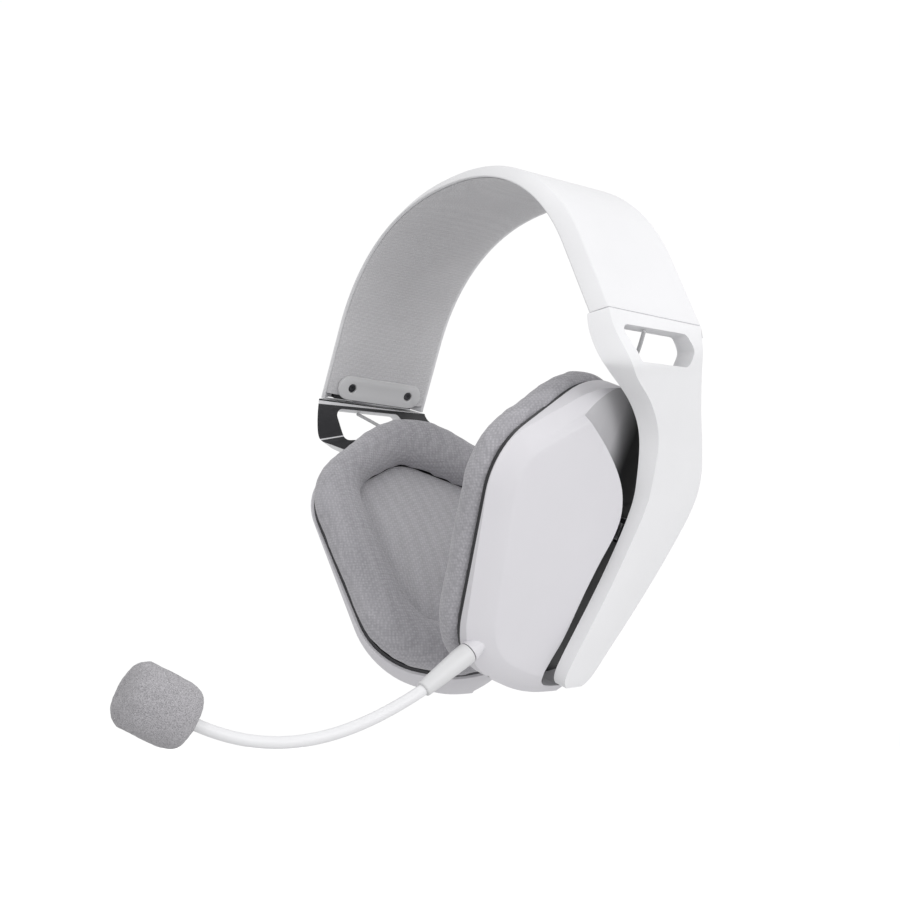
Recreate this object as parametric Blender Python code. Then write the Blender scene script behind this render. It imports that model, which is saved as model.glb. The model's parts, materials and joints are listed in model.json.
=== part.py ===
"""Wireless over-ear gaming headset with a detachable microphone.

The scene is in metres with +Z up.  The wearer faces -Y and +X is the wearer's left.
The origin is on the underside of the headband lining, at the top of the arch.
Driving sizes are in millimetres and become metres when a mesh is made.
"""
import math

import bmesh
import bpy
from mathutils import Matrix, Vector

MM = 0.001

# ---- headband: arch in the XZ plane, section across it (y, height above the inner face)
BAND_THICK = 5.6
BAND_INNER_HALF = 26.4
BAND_OUTER_HALF = 20.9
BAND_WALL = 1.3
LINER_DROP = 0.6
LINER_TOP = 1.0
ARCH_HALF_SPAN = 83.0
ARCH_DEPTH = 86.5
ARCH_POWER = 2.22
ARCH_SWEEP = 1.074
ARCH_STEPS = 44
BAND_STRAIGHT = 30.0
APEX_HEIGHT = BAND_THICK + LINER_DROP + 0.022
SPRING_SWEEP = 0.88
SPRING_HALF = 12.0

# ---- height slider at each end of the band
SLIDER_THICK = 0.8
SLIDER_HALF = 9.0
SLIDER_INSIDE = 28.0
SLIDER_FOOT = 2.0
SLIDER_LEVEL = 2.65
GUIDE_LENGTH = 14.5
GUIDE_HALF = 19.0
END_PLATE_HALF = 20.0
END_PLATE_RADIUS = 5.0
END_PLATE_UP = 6.3
END_SCREW_Y = 13.75

# ---- ear cup plane: u points to the back, v up, w outward from the pad seam
CUP_ORIGIN = (50.5, 0.0, -113.0 + APEX_HEIGHT)
CUP_TOE = math.radians(15.0)
CUP_LEAN = math.radians(25.5)
CUP_CORNERS = ((-3.5, 33.3), (-45.0, -4.0), (-27.0, -75.0), (0.0, -80.5), (27.0, -75.0), (45.5, -2.0))
CUP_RADII = (27.0, 22.0, 24.0, 40.0, 24.0, 18.0)
RIM_GROW = 2.8
RIM_LOW = -1.9
BEVEL_GROW = -4.7
BEVEL_DROP = 3.6
CORNER_STEPS = 5
CUP_CENTRE = (-1.0, -24.0)
SHELL_WALL = 1.8
RECESS_FLOOR = 7.4
RECESS_SLOPE = 0.06
RECESS_BREAK = -28.0
RECESS_EDGE = ((-36.0, 30.0), (-24.0, 19.0), (-7.0, 7.5), (3.5, -2.0), (9.0, -11.0), (10.6, -20.0),
               (9.8, -32.0), (7.6, -44.0), (4.2, -60.0), (1.9, -70.0), (-2.0, -78.0), (-8.0, -92.0))
BAFFLE_LOW = -1.1
BAFFLE_HIGH = -0.3
HOLE_CORNERS = ((-7.0, 11.0), (-28.5, -3.0), (-11.5, -60.0), (0.0, -63.0), (11.5, -60.0), (28.5, -3.0))
HOLE_RADII = (12.0, 9.0, 9.0, 20.0, 9.0, 9.0)
PAD_GROW = 4.0
PAD_SECTION = ((0.08, 2.2), (0.03, 5.0), (0.0, 9.0), (0.03, 12.2), (0.13, 14.6), (0.30, 15.6),
               (0.52, 15.6), (0.76, 14.6), (0.93, 11.6), (1.0, 7.0), (1.0, 2.2))
DRIVER_CENTRE = (-6.0, -27.0)
DRIVER_RADIUS = 21.0

# ---- yoke: plate that leaves the band end and folds down parallel to the cup
YOKE_LEVEL = 22.0
YOKE_THICK = 5.0
YOKE_GAP = 0.5
YOKE_FRONT = ((-19.6, 33.5), (-5.8, 26.5), (5.5, 15.9), (11.2, 1.0), (13.0, -9.0), (11.5, -25.0),
              (9.0, -42.0), (5.2, -60.0), (3.2, -72.0), (6.0, -75.6))
YOKE_REAR = ((16.0, 41.9), (24.0, 30.0), (33.5, 17.5), (40.5, 6.0), (41.8, -6.0), (37.0, -24.5),
             (30.4, -43.0), (23.0, -60.5), (18.4, -71.0), (14.5, -74.6))
WIRE_END = (-2.0, 30.4, 3.5)
YOKE_SPREAD = (5.5, 5.6, 6.0, 6.0, 5.0, 4.0, 2.5, 1.2, 0.3)
YOKE_BULGE = (0.0, 1.0, 2.0, 2.0, 1.5, 0.5, 0.0)
YOKE_STEPS = 3
WINDOW = ((-15.5, 9.3), (14.2, 2.2), (17.2, -4.0), (15.5, -9.0), (-12.5, -4.5))
WINDOW_ROUND = 2.5

# ---- gimbal between yoke and cup
PIVOT_U = 25.0
PIVOT_V = -20.0
TILT_LEVEL = 10.7
YAW_LEVEL = 12.9
PIN_RADIUS = 0.9
PIN_ROOM = 0.12

# ---- controls on the back edge of the left cup
BUTTON_LENGTH = 9.0
BUTTON_HEIGHT = 2.4
BUTTON_LEVEL = 2.8
WHEEL_RADIUS = 6.0
WHEEL_THICK = 2.0

# ---- microphone: boom in an upright plane through the plug
MIC_POINT = (-30.4, -73.5, 2.7)
MIC_HEADING = (-0.14, -0.99)
MIC_DIP = math.radians(36.7)
SLEEVE_LENGTH = 19.0
SLEEVE_RADIUS = 3.7
BOOM_RADIUS = 2.0
BOOM_DIP = math.radians(31.0)
BOOM_RISE = math.radians(25.0)
BOOM_END = (97.5, -21.3)
BOOM_REACH = (32.0, 32.0)
BEND_GAP = 2.4
FOAM_LENGTH = 24.0
FOAM_RADIUS = 10.9

GAP = 0.3

WHITE = ((0.86, 0.86, 0.87), 0.38, 0.0)
CUP_GREY = ((0.66, 0.65, 0.68), 0.42, 0.0)
FABRIC = ((0.36, 0.35, 0.38), 0.95, 0.0)
FOAM_GREY = ((0.34, 0.34, 0.37), 1.0, 0.0)
DARK = ((0.03, 0.03, 0.035), 0.5, 0.0)
STEEL = ((0.62, 0.62, 0.64), 0.3, 1.0)
BOARD = ((0.03, 0.16, 0.08), 0.5, 0.0)
FILM = ((0.75, 0.72, 0.66), 0.35, 0.0)


# ------------------------------------------------------------------ scene helpers
def clear_scene():
    for item in list(bpy.data.objects):
        bpy.data.objects.remove(item, do_unlink=True)


def make_collection(name):
    collection = bpy.data.collections.new(name)
    bpy.context.scene.collection.children.link(collection)
    return collection


def make_material(name, look):
    colour, roughness, metallic = look
    material = bpy.data.materials.new(name)
    material.use_nodes = True
    shader = material.node_tree.nodes["Principled BSDF"]
    shader.inputs["Base Color"].default_value = (*colour, 1.0)
    shader.inputs["Roughness"].default_value = roughness
    shader.inputs["Metallic"].default_value = metallic
    return material


clear_scene()
HEADSET = make_collection("gaming_headset")
CUTTERS = make_collection("cutters")


def finish_mesh(bm, name, collection=None):
    """Make an object from a bmesh in millimetres, with outward faces."""
    bmesh.ops.remove_doubles(bm, verts=bm.verts, dist=1e-4)
    bmesh.ops.recalc_face_normals(bm, faces=bm.faces)
    bmesh.ops.scale(bm, vec=(MM, MM, MM), verts=bm.verts)
    mesh = bpy.data.meshes.new(name)
    bm.to_mesh(mesh)
    bm.free()
    item = bpy.data.objects.new(name, mesh)
    (collection or HEADSET).objects.link(item)
    if collection is CUTTERS:
        item.hide_render = True
        item.display_type = "WIRE"
    return item


def loft(name, rings, closed=False, collection=None):
    """Skin rings that all have the same number of points; cap the ends unless closed."""
    bm = bmesh.new()
    loops = [[bm.verts.new(point) for point in ring] for ring in rings]
    count = len(rings[0])
    pairs = list(zip(loops, loops[1:]))
    if closed:
        pairs.append((loops[-1], loops[0]))
    for low, high in pairs:
        for i in range(count):
            j = (i + 1) % count
            bm.faces.new((low[i], low[j], high[j], high[i]))
    if not closed:
        bm.faces.new(loops[0])
        bm.faces.new(loops[-1])
    return finish_mesh(bm, name, collection)


def box(name, size, frame, collection=None):
    """Box centred on a frame, its sides along the frame's axes."""
    bm = bmesh.new()
    bmesh.ops.create_cube(bm, size=1.0)
    bmesh.ops.scale(bm, vec=size, verts=bm.verts)
    bmesh.ops.transform(bm, matrix=frame, verts=bm.verts)
    return finish_mesh(bm, name, collection)


def rod(name, radius, length, frame, collection=None, sides=24, end_radius=None):
    """Cylinder or cone centred on a frame, its axis along the frame's third axis."""
    bm = bmesh.new()
    top = radius if end_radius is None else end_radius
    bmesh.ops.create_cone(bm, cap_ends=True, segments=sides, radius1=radius, radius2=top, depth=length)
    bmesh.ops.transform(bm, matrix=frame, verts=bm.verts)
    return finish_mesh(bm, name, collection)


def apply_modifiers(item):
    depsgraph = bpy.context.evaluated_depsgraph_get()
    mesh = bpy.data.meshes.new_from_object(item.evaluated_get(depsgraph))
    item.modifiers.clear()
    item.data = mesh


def cut(item, *cutters, operation="DIFFERENCE"):
    """Boolean each cutter into the item in turn, then remove the cutters."""
    for cutter in cutters:
        modifier = item.modifiers.new("cut", "BOOLEAN")
        modifier.operation = operation
        modifier.solver = "EXACT"
        modifier.object = cutter
        apply_modifiers(item)
        bpy.data.objects.remove(cutter, do_unlink=True)
    return item


def join_solids(item, *others):
    return cut(item, *others, operation="UNION")


def tube(name, points, radius, sides=3):
    """Round tube along points in millimetres, with closed ends."""
    curve = bpy.data.curves.new(name, "CURVE")
    curve.dimensions = "3D"
    curve.bevel_depth = radius * MM
    curve.bevel_resolution = sides
    curve.use_fill_caps = True
    spline = curve.splines.new("POLY")
    spline.points.add(len(points) - 1)
    for slot, point in zip(spline.points, points):
        slot.co = (*(Vector(point) * MM), 1.0)
    holder = bpy.data.objects.new(name + "_curve", curve)
    HEADSET.objects.link(holder)
    depsgraph = bpy.context.evaluated_depsgraph_get()
    mesh = bpy.data.meshes.new_from_object(holder.evaluated_get(depsgraph))
    bpy.data.objects.remove(holder, do_unlink=True)
    item = bpy.data.objects.new(name, mesh)
    HEADSET.objects.link(item)
    bm = bmesh.new()
    bm.from_mesh(mesh)
    bmesh.ops.remove_doubles(bm, verts=bm.verts, dist=1e-6)
    bmesh.ops.recalc_face_normals(bm, faces=bm.faces)
    bm.to_mesh(mesh)
    bm.free()
    return item


# ------------------------------------------------------------------ frames and outlines
def frame_from(origin, x_axis, z_axis):
    """Frame in millimetres with its third axis on z_axis and its first near x_axis."""
    z_unit = Vector(z_axis).normalized()
    x_unit = Vector(x_axis)
    x_unit = (x_unit - z_unit * x_unit.dot(z_unit)).normalized()
    y_unit = z_unit.cross(x_unit)
    rows = Matrix((x_unit, y_unit, z_unit)).transposed()
    return Matrix.Translation(Vector(origin)) @ rows.to_4x4()


CUP_LEVEL = Vector((math.cos(CUP_TOE), math.sin(CUP_TOE), 0.0))
CUP_OUT = CUP_LEVEL * math.cos(CUP_LEAN) - Vector((0.0, 0.0, math.sin(CUP_LEAN)))
CUP_BACK = Vector((-math.sin(CUP_TOE), math.cos(CUP_TOE), 0.0))
CUP_UP = CUP_OUT.cross(CUP_BACK)
CUP_FRAME = frame_from(CUP_ORIGIN, CUP_BACK, CUP_OUT)


def cup_point(u, v, w):
    return CUP_FRAME @ Vector((u, v, w))


def cup_place(u, v, w, axis="w"):
    """Frame at a point of the cup plane, its third axis along u, v or w."""
    third = {"u": CUP_BACK, "v": CUP_UP, "w": CUP_OUT}[axis]
    first = CUP_UP if axis == "u" else CUP_BACK
    return frame_from(cup_point(u, v, w), first, third)


def rounded_outline(corners, radii, offset=0.0):
    """Points of a convex polygon with rounded corners, grown outward by an offset."""
    points = []
    count = len(corners)
    for i in range(count):
        corner = Vector(corners[i])
        before = (corner - Vector(corners[i - 1])).normalized()
        after = (Vector(corners[(i + 1) % count]) - corner).normalized()
        start = math.atan2(before.y, before.x)
        turn = math.atan2(before.cross(after), before.dot(after))
        bisector = (after - before).normalized()
        centre = corner + bisector * (radii[i] / math.cos(turn / 2))
        side = -math.pi / 2 if turn > 0 else math.pi / 2
        radius = radii[i] + offset
        for step in range(CORNER_STEPS + 1):
            angle = start + side + turn * step / CORNER_STEPS
            points.append(centre + Vector((math.cos(angle), math.sin(angle))) * radius)
    return points


def rounded_rectangle(half_long, half_high, radius):
    corners = [(x * half_long, y * half_high) for x, y in ((-1, -1), (1, -1), (1, 1), (-1, 1))]
    return rounded_outline(corners, [radius] * 4)


def cup_outline(offset=0.0):
    return rounded_outline(CUP_CORNERS, CUP_RADII, offset)


def hole_outline(offset=0.0):
    return rounded_outline(HOLE_CORNERS, HOLE_RADII, offset)


def shrink(outline, factor):
    centre = Vector(CUP_CENTRE)
    return [centre + (point - centre) * factor for point in outline]


def plate(name, outline, low, high, collection=None):
    """Flat plate in the cup plane between two levels."""
    rings = [[cup_point(p[0], p[1], level) for p in outline] for level in (low, high)]
    return loft(name, rings, collection=collection)


def smooth_path(points, steps):
    """Catmull-Rom curve through the points."""
    path = []
    last = len(points) - 1
    for i in range(last):
        p0 = points[max(i - 1, 0)]
        p1, p2 = points[i], points[i + 1]
        p3 = points[min(i + 2, last)]
        for step in range(steps):
            t = step / steps
            near = p1 * 2 + (p2 - p0) * t
            curve = (p0 * 2 - p1 * 5 + p2 * 4 - p3) * t ** 2
            bend = (p1 * 3 - p0 - p2 * 3 + p3) * t ** 3
            path.append((near + curve + bend) * 0.5)
    path.append(points[-1])
    return path


# ------------------------------------------------------------------ left and right
def mirrored(item, name):
    """Copy of an object reflected to the other side of the head."""
    bm = bmesh.new()
    bm.from_mesh(item.data)
    bmesh.ops.scale(bm, vec=(-1.0, 1.0, 1.0), verts=bm.verts)
    bmesh.ops.recalc_face_normals(bm, faces=bm.faces)
    mesh = bpy.data.meshes.new(name)
    bm.to_mesh(mesh)
    bm.free()
    twin = bpy.data.objects.new(name, mesh)
    HEADSET.objects.link(twin)
    return twin


def paint(item, look):
    item.data.materials.clear()
    item.data.materials.append(make_material(item.name + "_finish", look))
    return item


class Body:
    """Empty on a joint's axis that carries the pieces that move with it."""

    def __init__(self, name, origin, parent=None):
        self.origin = Vector(origin) * MM
        self.empty = bpy.data.objects.new("joint_" + name, None)
        self.empty.empty_display_size = 0.01
        HEADSET.objects.link(self.empty)
        base = parent.origin if parent else Vector()
        self.empty.location = self.origin - base
        if parent:
            self.empty.parent = parent.empty

    def take(self, item, look):
        item.data.transform(Matrix.Translation(-self.origin))
        item.parent = self.empty
        return paint(item, look)


def flip(point):
    return Vector((-point[0], point[1], point[2]))


# ------------------------------------------------------------------ headband
def arch_point(angle):
    """Point and outward direction on the outer face of the band."""
    power = 2.0 / ARCH_POWER
    sine, cosine = math.sin(abs(angle)), math.cos(angle)
    x = ARCH_HALF_SPAN * sine ** power
    z = ARCH_DEPTH * (cosine ** power - 1.0)
    out_x = (x / ARCH_HALF_SPAN) ** (ARCH_POWER - 1.0) / ARCH_HALF_SPAN
    out_z = (z / ARCH_DEPTH + 1.0) ** (ARCH_POWER - 1.0) / ARCH_DEPTH
    side = math.copysign(1.0, angle)
    point = Vector((side * x, 0.0, z + APEX_HEIGHT))
    return point, Vector((side * out_x, 0.0, out_z)).normalized()


BEND_POINT, END_OUT = arch_point(ARCH_SWEEP)
END_DOWN = Vector((END_OUT.z, 0.0, -END_OUT.x))
BAND_END = BEND_POINT + END_DOWN * BAND_STRAIGHT


def band_stations(end_cut=0.0, sweep=ARCH_SWEEP, straight=True):
    """Stations along the arch from the right end to the left end, flat at the top."""
    angles = [sweep * (2 * (i + 0.5) / ARCH_STEPS - 1) for i in range(ARCH_STEPS)]
    stations = [arch_point(angle) for angle in angles]
    if straight:
        ends = [(BEND_POINT, END_OUT), (BEND_POINT + END_DOWN * (BAND_STRAIGHT - end_cut), END_OUT)]
        stations += ends
        stations = [(flip(p), flip(n)) for p, n in reversed(ends)] + stations
    return stations


def sweep_section(name, section, stations):
    """Sweep a closed section of (y, height above the inner face) along the stations."""
    rings = []
    for point, out in stations:
        ring = [point + Vector((0, y, 0)) + out * (height - BAND_THICK) for y, height in section]
        rings.append(ring)
    return loft(name, rings)


def band_frame(up, height, axis="out"):
    """Frame at the left band end, up along the band and at a height above its inner face."""
    origin = BAND_END - END_DOWN * up + END_OUT * (height - BAND_THICK)
    third = {"out": END_OUT, "down": END_DOWN, "y": Vector((0, 1, 0))}[axis]
    first = END_OUT if axis == "y" else Vector((0, 1, 0))
    return frame_from(origin, first, third)


def headband_shell():
    """Open channel with a flat back and sloping flanks."""
    low = 0.6
    foot = BAND_INNER_HALF - low * (BAND_INNER_HALF - BAND_OUTER_HALF) / BAND_THICK
    lip = foot - 1.9
    inner_top = BAND_THICK - BAND_WALL
    inner_half = BAND_OUTER_HALF - 0.8
    right = [(foot, low), (BAND_OUTER_HALF, BAND_THICK)]
    inside = [(-lip, low), (-inner_half, inner_top), (inner_half, inner_top), (lip, low)]
    section = right + [(-y, height) for y, height in reversed(right)] + inside
    return sweep_section("headband_shell", section, band_stations())


def headband_liner():
    wide = BAND_INNER_HALF - 3.0
    low, high = -LINER_DROP, LINER_TOP
    right = [(wide - 0.8, low), (wide, low + 0.6), (wide, 0.4), (wide - 1.4, high)]
    section = right + [(-y, height) for y, height in reversed(right)]
    return sweep_section("headband_liner", section, band_stations(end_cut=2.5))


def headband_spring():
    section = [(SPRING_HALF, 3.9), (-SPRING_HALF, 3.9), (-SPRING_HALF, 3.1), (SPRING_HALF, 3.1)]
    return sweep_section("headband_spring", section, band_stations(sweep=SPRING_SWEEP, straight=False))


def slider_guide(name):
    """Block inside the band end with a slot for the slider and two screw holes."""
    low, high = LINER_TOP + GAP, BAND_THICK - BAND_WALL - GAP
    mid = (low + high) / 2
    centre = 0.4 + GUIDE_LENGTH / 2
    block = box(name, (2 * GUIDE_HALF, GUIDE_LENGTH, high - low), band_frame(centre, mid))
    slot_size = (2 * SLIDER_HALF + 0.8, GUIDE_LENGTH + 4, SLIDER_THICK + 0.5)
    cut(block, box("slot", slot_size, band_frame(centre, SLIDER_LEVEL), CUTTERS))
    for y in (-END_SCREW_Y, END_SCREW_Y):
        hole = band_frame(END_PLATE_UP, mid) @ Matrix.Translation((y, 0, 0))
        cut(block, rod("hole", 1.25, 8.0, hole, CUTTERS))
    return block


def end_plate(name):
    """Round-ended plate on the lining that holds the slider guide."""
    outline = []
    reach = END_PLATE_HALF - END_PLATE_RADIUS
    for side in (1, -1):
        for step in range(9):
            angle = -math.pi / 2 + math.pi * step / 8
            across = reach + END_PLATE_RADIUS * math.cos(angle)
            outline.append((side * across, side * END_PLATE_RADIUS * math.sin(angle)))
    rings = []
    for height, inset in ((-LINER_DROP - GAP, 1.0), (-LINER_DROP - 1.0, 1.0), (-LINER_DROP - 1.3, 0.94)):
        frame = band_frame(END_PLATE_UP, height)
        rings.append([frame @ Vector((x * inset, y * inset, 0)) for x, y in outline])
    item = loft(name, rings)
    for y in (-END_SCREW_Y, END_SCREW_Y):
        hole = band_frame(END_PLATE_UP, -LINER_DROP - 0.8) @ Matrix.Translation((y, 0, 0))
        cut(item, rod("hole", 1.9, 4.0, hole, CUTTERS))
    return item


def end_screw(name, y):
    """Screw with a sunk hexagon socket, from the plate into the guide block."""
    head = band_frame(END_PLATE_UP, -LINER_DROP - 0.55) @ Matrix.Translation((y, 0, 0))
    screw = rod(name, 1.6, 0.9, head, sides=16)
    shank = band_frame(END_PLATE_UP, 0.9) @ Matrix.Translation((y, 0, 0))
    join_solids(screw, rod("shank", 0.95, 3.8, shank, CUTTERS, sides=16))
    socket = band_frame(END_PLATE_UP, -LINER_DROP - 1.0) @ Matrix.Translation((y, 0, 0))
    return cut(screw, rod("socket", 0.8, 0.9, socket, CUTTERS, sides=6))


def liner_with_holes():
    liner = headband_liner()
    for side in (1, -1):
        for y in (-END_SCREW_Y, END_SCREW_Y):
            hole = band_frame(END_PLATE_UP, 0.0) @ Matrix.Translation((y, 0, 0))
            cutter = rod("hole", 1.9, 6.0, hole, CUTTERS, sides=16)
            if side < 0:
                cutter.data.transform(Matrix.Scale(-1.0, 4, (1, 0, 0)))
                cutter.data.flip_normals()
            cut(liner, cutter)
    return liner


# ------------------------------------------------------------------ yoke and slider
def fold_point(y):
    """Where the band's end plane, at a given y, meets the outer plane of the yoke."""
    start = BAND_END + Vector((0, y, 0))
    level = (start - cup_point(0, 0, YOKE_LEVEL)).dot(CUP_OUT)
    return start + END_DOWN * (-level / END_DOWN.dot(CUP_OUT))


def yoke_edges():
    """Front and back edge of the yoke's outer face, from the band end to the tip."""
    top = BAND_END + END_DOWN * YOKE_GAP
    edges = []
    sides = ((-BAND_OUTER_HALF, 0.6, 1.3, YOKE_FRONT), (BAND_OUTER_HALF, -1.0, 0.5, YOKE_REAR))
    for y, turn_in, sink, row in sides:
        start = top + Vector((0, y, 0))
        fold = fold_point(y + turn_in)
        lower = [cup_point(u, v, YOKE_LEVEL) for u, v in row]
        bend = [start.lerp(fold, 0.45) - END_OUT * sink, fold.lerp(lower[0], 0.35)]
        edges.append(smooth_path([start] + bend + lower, YOKE_STEPS))
    return edges


def along_profile(values, place):
    """Value of a list at a place between its entries; the last entry holds from there on."""
    place = min(place, len(values) - 1.0)
    low = min(int(place), len(values) - 2)
    return values[low] + (values[low + 1] - values[low]) * (place - low)


def yoke_normals(front, rear):
    """Outward direction at each step of the yoke's path, eased around the fold."""
    last = len(front) - 1
    normals = [END_OUT]
    for i in range(1, last + 1):
        after, before = min(i + 1, last), i - 1
        along = front[after] + rear[after] - front[before] - rear[before]
        out = (rear[i] - front[i]).cross(along).normalized()
        normals.append(out if out.dot(END_OUT + CUP_OUT) > 0 else -out)
    for _ in range(4):
        middle = [(a + b * 2 + c).normalized() for a, b, c in zip(normals, normals[1:], normals[2:])]
        normals = [normals[0]] + middle + [normals[-1]]
    return normals


def yoke_rings(inset, outer_level, inner_level, skip=0):
    """Rings of four points around the yoke's path, between two depths below its outer face."""
    front, rear = yoke_edges()
    normals = yoke_normals(front, rear)
    rings = []
    for i in range(skip, len(front)):
        across = (rear[i] - front[i]).normalized()
        spread = along_profile(YOKE_SPREAD, i / YOKE_STEPS)
        bulge = along_profile(YOKE_BULGE, i / YOKE_STEPS)
        depths = [(level, level + bulge * min(level, 1.0)) for level in (outer_level, inner_level)]
        ring = []
        for edge, side in ((front[i], -1), (rear[i], 1)):
            for level, depth in depths[::-side]:
                grow = spread * level / YOKE_THICK - inset
                ring.append(edge + across * side * grow - normals[i] * depth)
        rings.append(ring)
    return rings


def window_cutter():
    """Prism through the yoke at its fold, square to the middle of the two planes."""
    frame = frame_from(fold_point(0.0), fold_point(20.0) - fold_point(-20.0), END_OUT + CUP_OUT)
    outline = rounded_outline(WINDOW, [WINDOW_ROUND] * len(WINDOW))
    rings = [[frame @ Vector((p.x, p.y, height)) for p in outline] for height in (-25.0, 15.0)]
    return loft("window", rings, collection=CUTTERS)


def yoke(name):
    item = loft(name, yoke_rings(0.0, 0.0, YOKE_THICK))
    cut(item, window_cutter())
    slot_size = (2 * SLIDER_HALF + 6.4, 2 * SLIDER_FOOT, SLIDER_THICK + 0.6)
    return cut(item, box("foot_slot", slot_size, band_frame(-YOKE_GAP, SLIDER_LEVEL), CUTTERS))


def slider_strip(name):
    """Flat steel strip with a wider foot held in the top of the yoke."""
    mid = (SLIDER_INSIDE - YOKE_GAP) / 2
    strip_size = (2 * SLIDER_HALF, SLIDER_INSIDE + YOKE_GAP + 1.0, SLIDER_THICK)
    strip = box(name, strip_size, band_frame(mid - 0.5, SLIDER_LEVEL))
    foot_centre = -YOKE_GAP - (SLIDER_FOOT - GAP) / 2
    foot_size = (2 * SLIDER_HALF + 5.8, SLIDER_FOOT - GAP, SLIDER_THICK)
    return join_solids(strip, box("foot", foot_size, band_frame(foot_centre, SLIDER_LEVEL), CUTTERS))


def yoke_inner_cover(name):
    """Thin cover on the inside face of the yoke, below the window."""
    return loft(name, yoke_rings(2.0, YOKE_THICK + GAP, YOKE_THICK + GAP + 0.9, skip=12))


def yoke_bracket(name):
    """Plate with two lugs that holds the upright pin."""
    base = box(name, (9.0, 19.0, 0.8), cup_place(PIVOT_U, PIVOT_V, 15.1))
    for side in (-1, 1):
        lug = cup_place(PIVOT_U, PIVOT_V + side * 6.6, 13.2)
        join_solids(base, box("lug", (7.0, 2.4, 4.0), lug, CUTTERS))
    bore = cup_place(PIVOT_U, PIVOT_V, YAW_LEVEL, "v")
    return cut(base, rod("bore", PIN_RADIUS + PIN_ROOM, 30.0, bore, CUTTERS))


def yaw_pin(name):
    return rod(name, PIN_RADIUS, 15.4, cup_place(PIVOT_U, PIVOT_V, YAW_LEVEL, "v"))


def tilt_pin(name):
    return rod(name, PIN_RADIUS, 14.6, cup_place(PIVOT_U, PIVOT_V, TILT_LEVEL, "u"))


def gimbal_block(name):
    block = box(name, (8.8, 8.8, 4.8), cup_place(PIVOT_U, PIVOT_V, 11.6))
    upright = cup_place(PIVOT_U, PIVOT_V, YAW_LEVEL, "v")
    level = cup_place(PIVOT_U, PIVOT_V, TILT_LEVEL, "u")
    cut(block, rod("bore", PIN_RADIUS + PIN_ROOM, 20.0, upright, CUTTERS))
    return cut(block, rod("bore", PIN_RADIUS + PIN_ROOM, 20.0, level, CUTTERS))


def cup_bracket(name):
    """Plate with two lugs on the recess floor that holds the level pin."""
    base = box(name, (18.0, 9.0, 0.8), cup_place(PIVOT_U, PIVOT_V, 8.1))
    for side in (-1, 1):
        lug = cup_place(PIVOT_U + side * 6.2, PIVOT_V, 10.2)
        join_solids(base, box("lug", (2.2, 6.0, 4.2), lug, CUTTERS))
    bore = cup_place(PIVOT_U, PIVOT_V, TILT_LEVEL, "u")
    return cut(base, rod("bore", PIN_RADIUS + PIN_ROOM, 30.0, bore, CUTTERS))


def lead_wire(name):
    """Wire from the band end through the inside of the window to the top of the cup."""
    start = BAND_END + END_DOWN * 5.2 - END_OUT * 2.8 + Vector((0, -5, 0))
    end = cup_point(*WIRE_END)
    middle = (start + end) / 2 + Vector((0.6, 1.2, 0.0))
    return tube(name, smooth_path([start, middle, end], 4), 0.7, sides=1)


# ------------------------------------------------------------------ ear cup
def face_level(u):
    """Level of the outer face; the cup is thinnest at its front corner."""
    return 2.4 + 0.25 * (u + 42.0)


def shell_body(name, inset, start, collection=None):
    """Solid with the cup's outer form, or its hollow when inset by the wall."""
    rings = []
    side = cup_outline(RIM_GROW - inset)
    rings.append([cup_point(p.x, p.y, start) for p in side])
    rings.append([cup_point(p.x, p.y, max(-1.3, face_level(p.x) - BEVEL_DROP) - 0.4 * inset) for p in side])
    edge = cup_outline(BEVEL_GROW - 0.7 * inset)
    rings.append([cup_point(p.x, p.y, face_level(p.x) + 0.6 - inset) for p in edge])
    field = cup_outline(-13.0 - inset)
    for factor, rise in ((1.0, 0.75), (0.62, 0.75), (0.3, 0.7)):
        rings.append([cup_point(p.x, p.y, face_level(p.x) + rise - inset) for p in shrink(field, factor)])
    return loft(name, rings, collection=collection)


def recess_cutter(grow, floor, slope):
    """Block over the part of the cup that the yoke covers, its floor flat or sloping."""
    edge = smooth_path([Vector(p) for p in RECESS_EDGE], 3)
    outline = [Vector((p.x - grow, p.y - grow * 0.5)) for p in edge]
    outline += [Vector((75.0, -92.0)), Vector((75.0, 60.0)), Vector((-34.0, 60.0))]
    low = [cup_point(p.x, p.y, floor + slope * (p.y - RECESS_BREAK)) for p in outline]
    return loft("recess", [low, [cup_point(p.x, p.y, 60.0) for p in outline]], collection=CUTTERS)


def cup_shell(name):
    body = shell_body(name, 0.0, RIM_LOW)
    hollow = shell_body("hollow", SHELL_WALL, RIM_LOW - 1.0, CUTTERS)
    for slope in (0.0, RECESS_SLOPE):
        cut(body, recess_cutter(0.0, RECESS_FLOOR, slope))
        cut(hollow, recess_cutter(SHELL_WALL, RECESS_FLOOR - SHELL_WALL, slope))
    return cut(body, hollow)


def cup_baffle(name):
    item = plate(name, cup_outline(BEVEL_GROW), BAFFLE_LOW, BAFFLE_HIGH)
    hole = cup_place(*DRIVER_CENTRE, 1.0)
    return cut(item, rod("driver_hole", DRIVER_RADIUS + GAP, 6.0, hole, CUTTERS, sides=40))


def pad_frame(name):
    item = plate(name, cup_outline(-1.4), -2.0, -1.4)
    hole = cup_place(*DRIVER_CENTRE, 0.0)
    return cut(item, rod("driver_hole", DRIVER_RADIUS + GAP, 6.0, hole, CUTTERS, sides=40))


def ear_pad(name):
    outer = cup_outline(PAD_GROW)
    inner = hole_outline()
    rings = []
    for share, depth in PAD_SECTION:
        rings.append([cup_point(*(a + (b - a) * share), -depth) for a, b in zip(outer, inner)])
    return loft(name, rings, closed=True)


def driver_cloth(name):
    return plate(name, hole_outline(-0.8), -5.0, -4.3)


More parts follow.
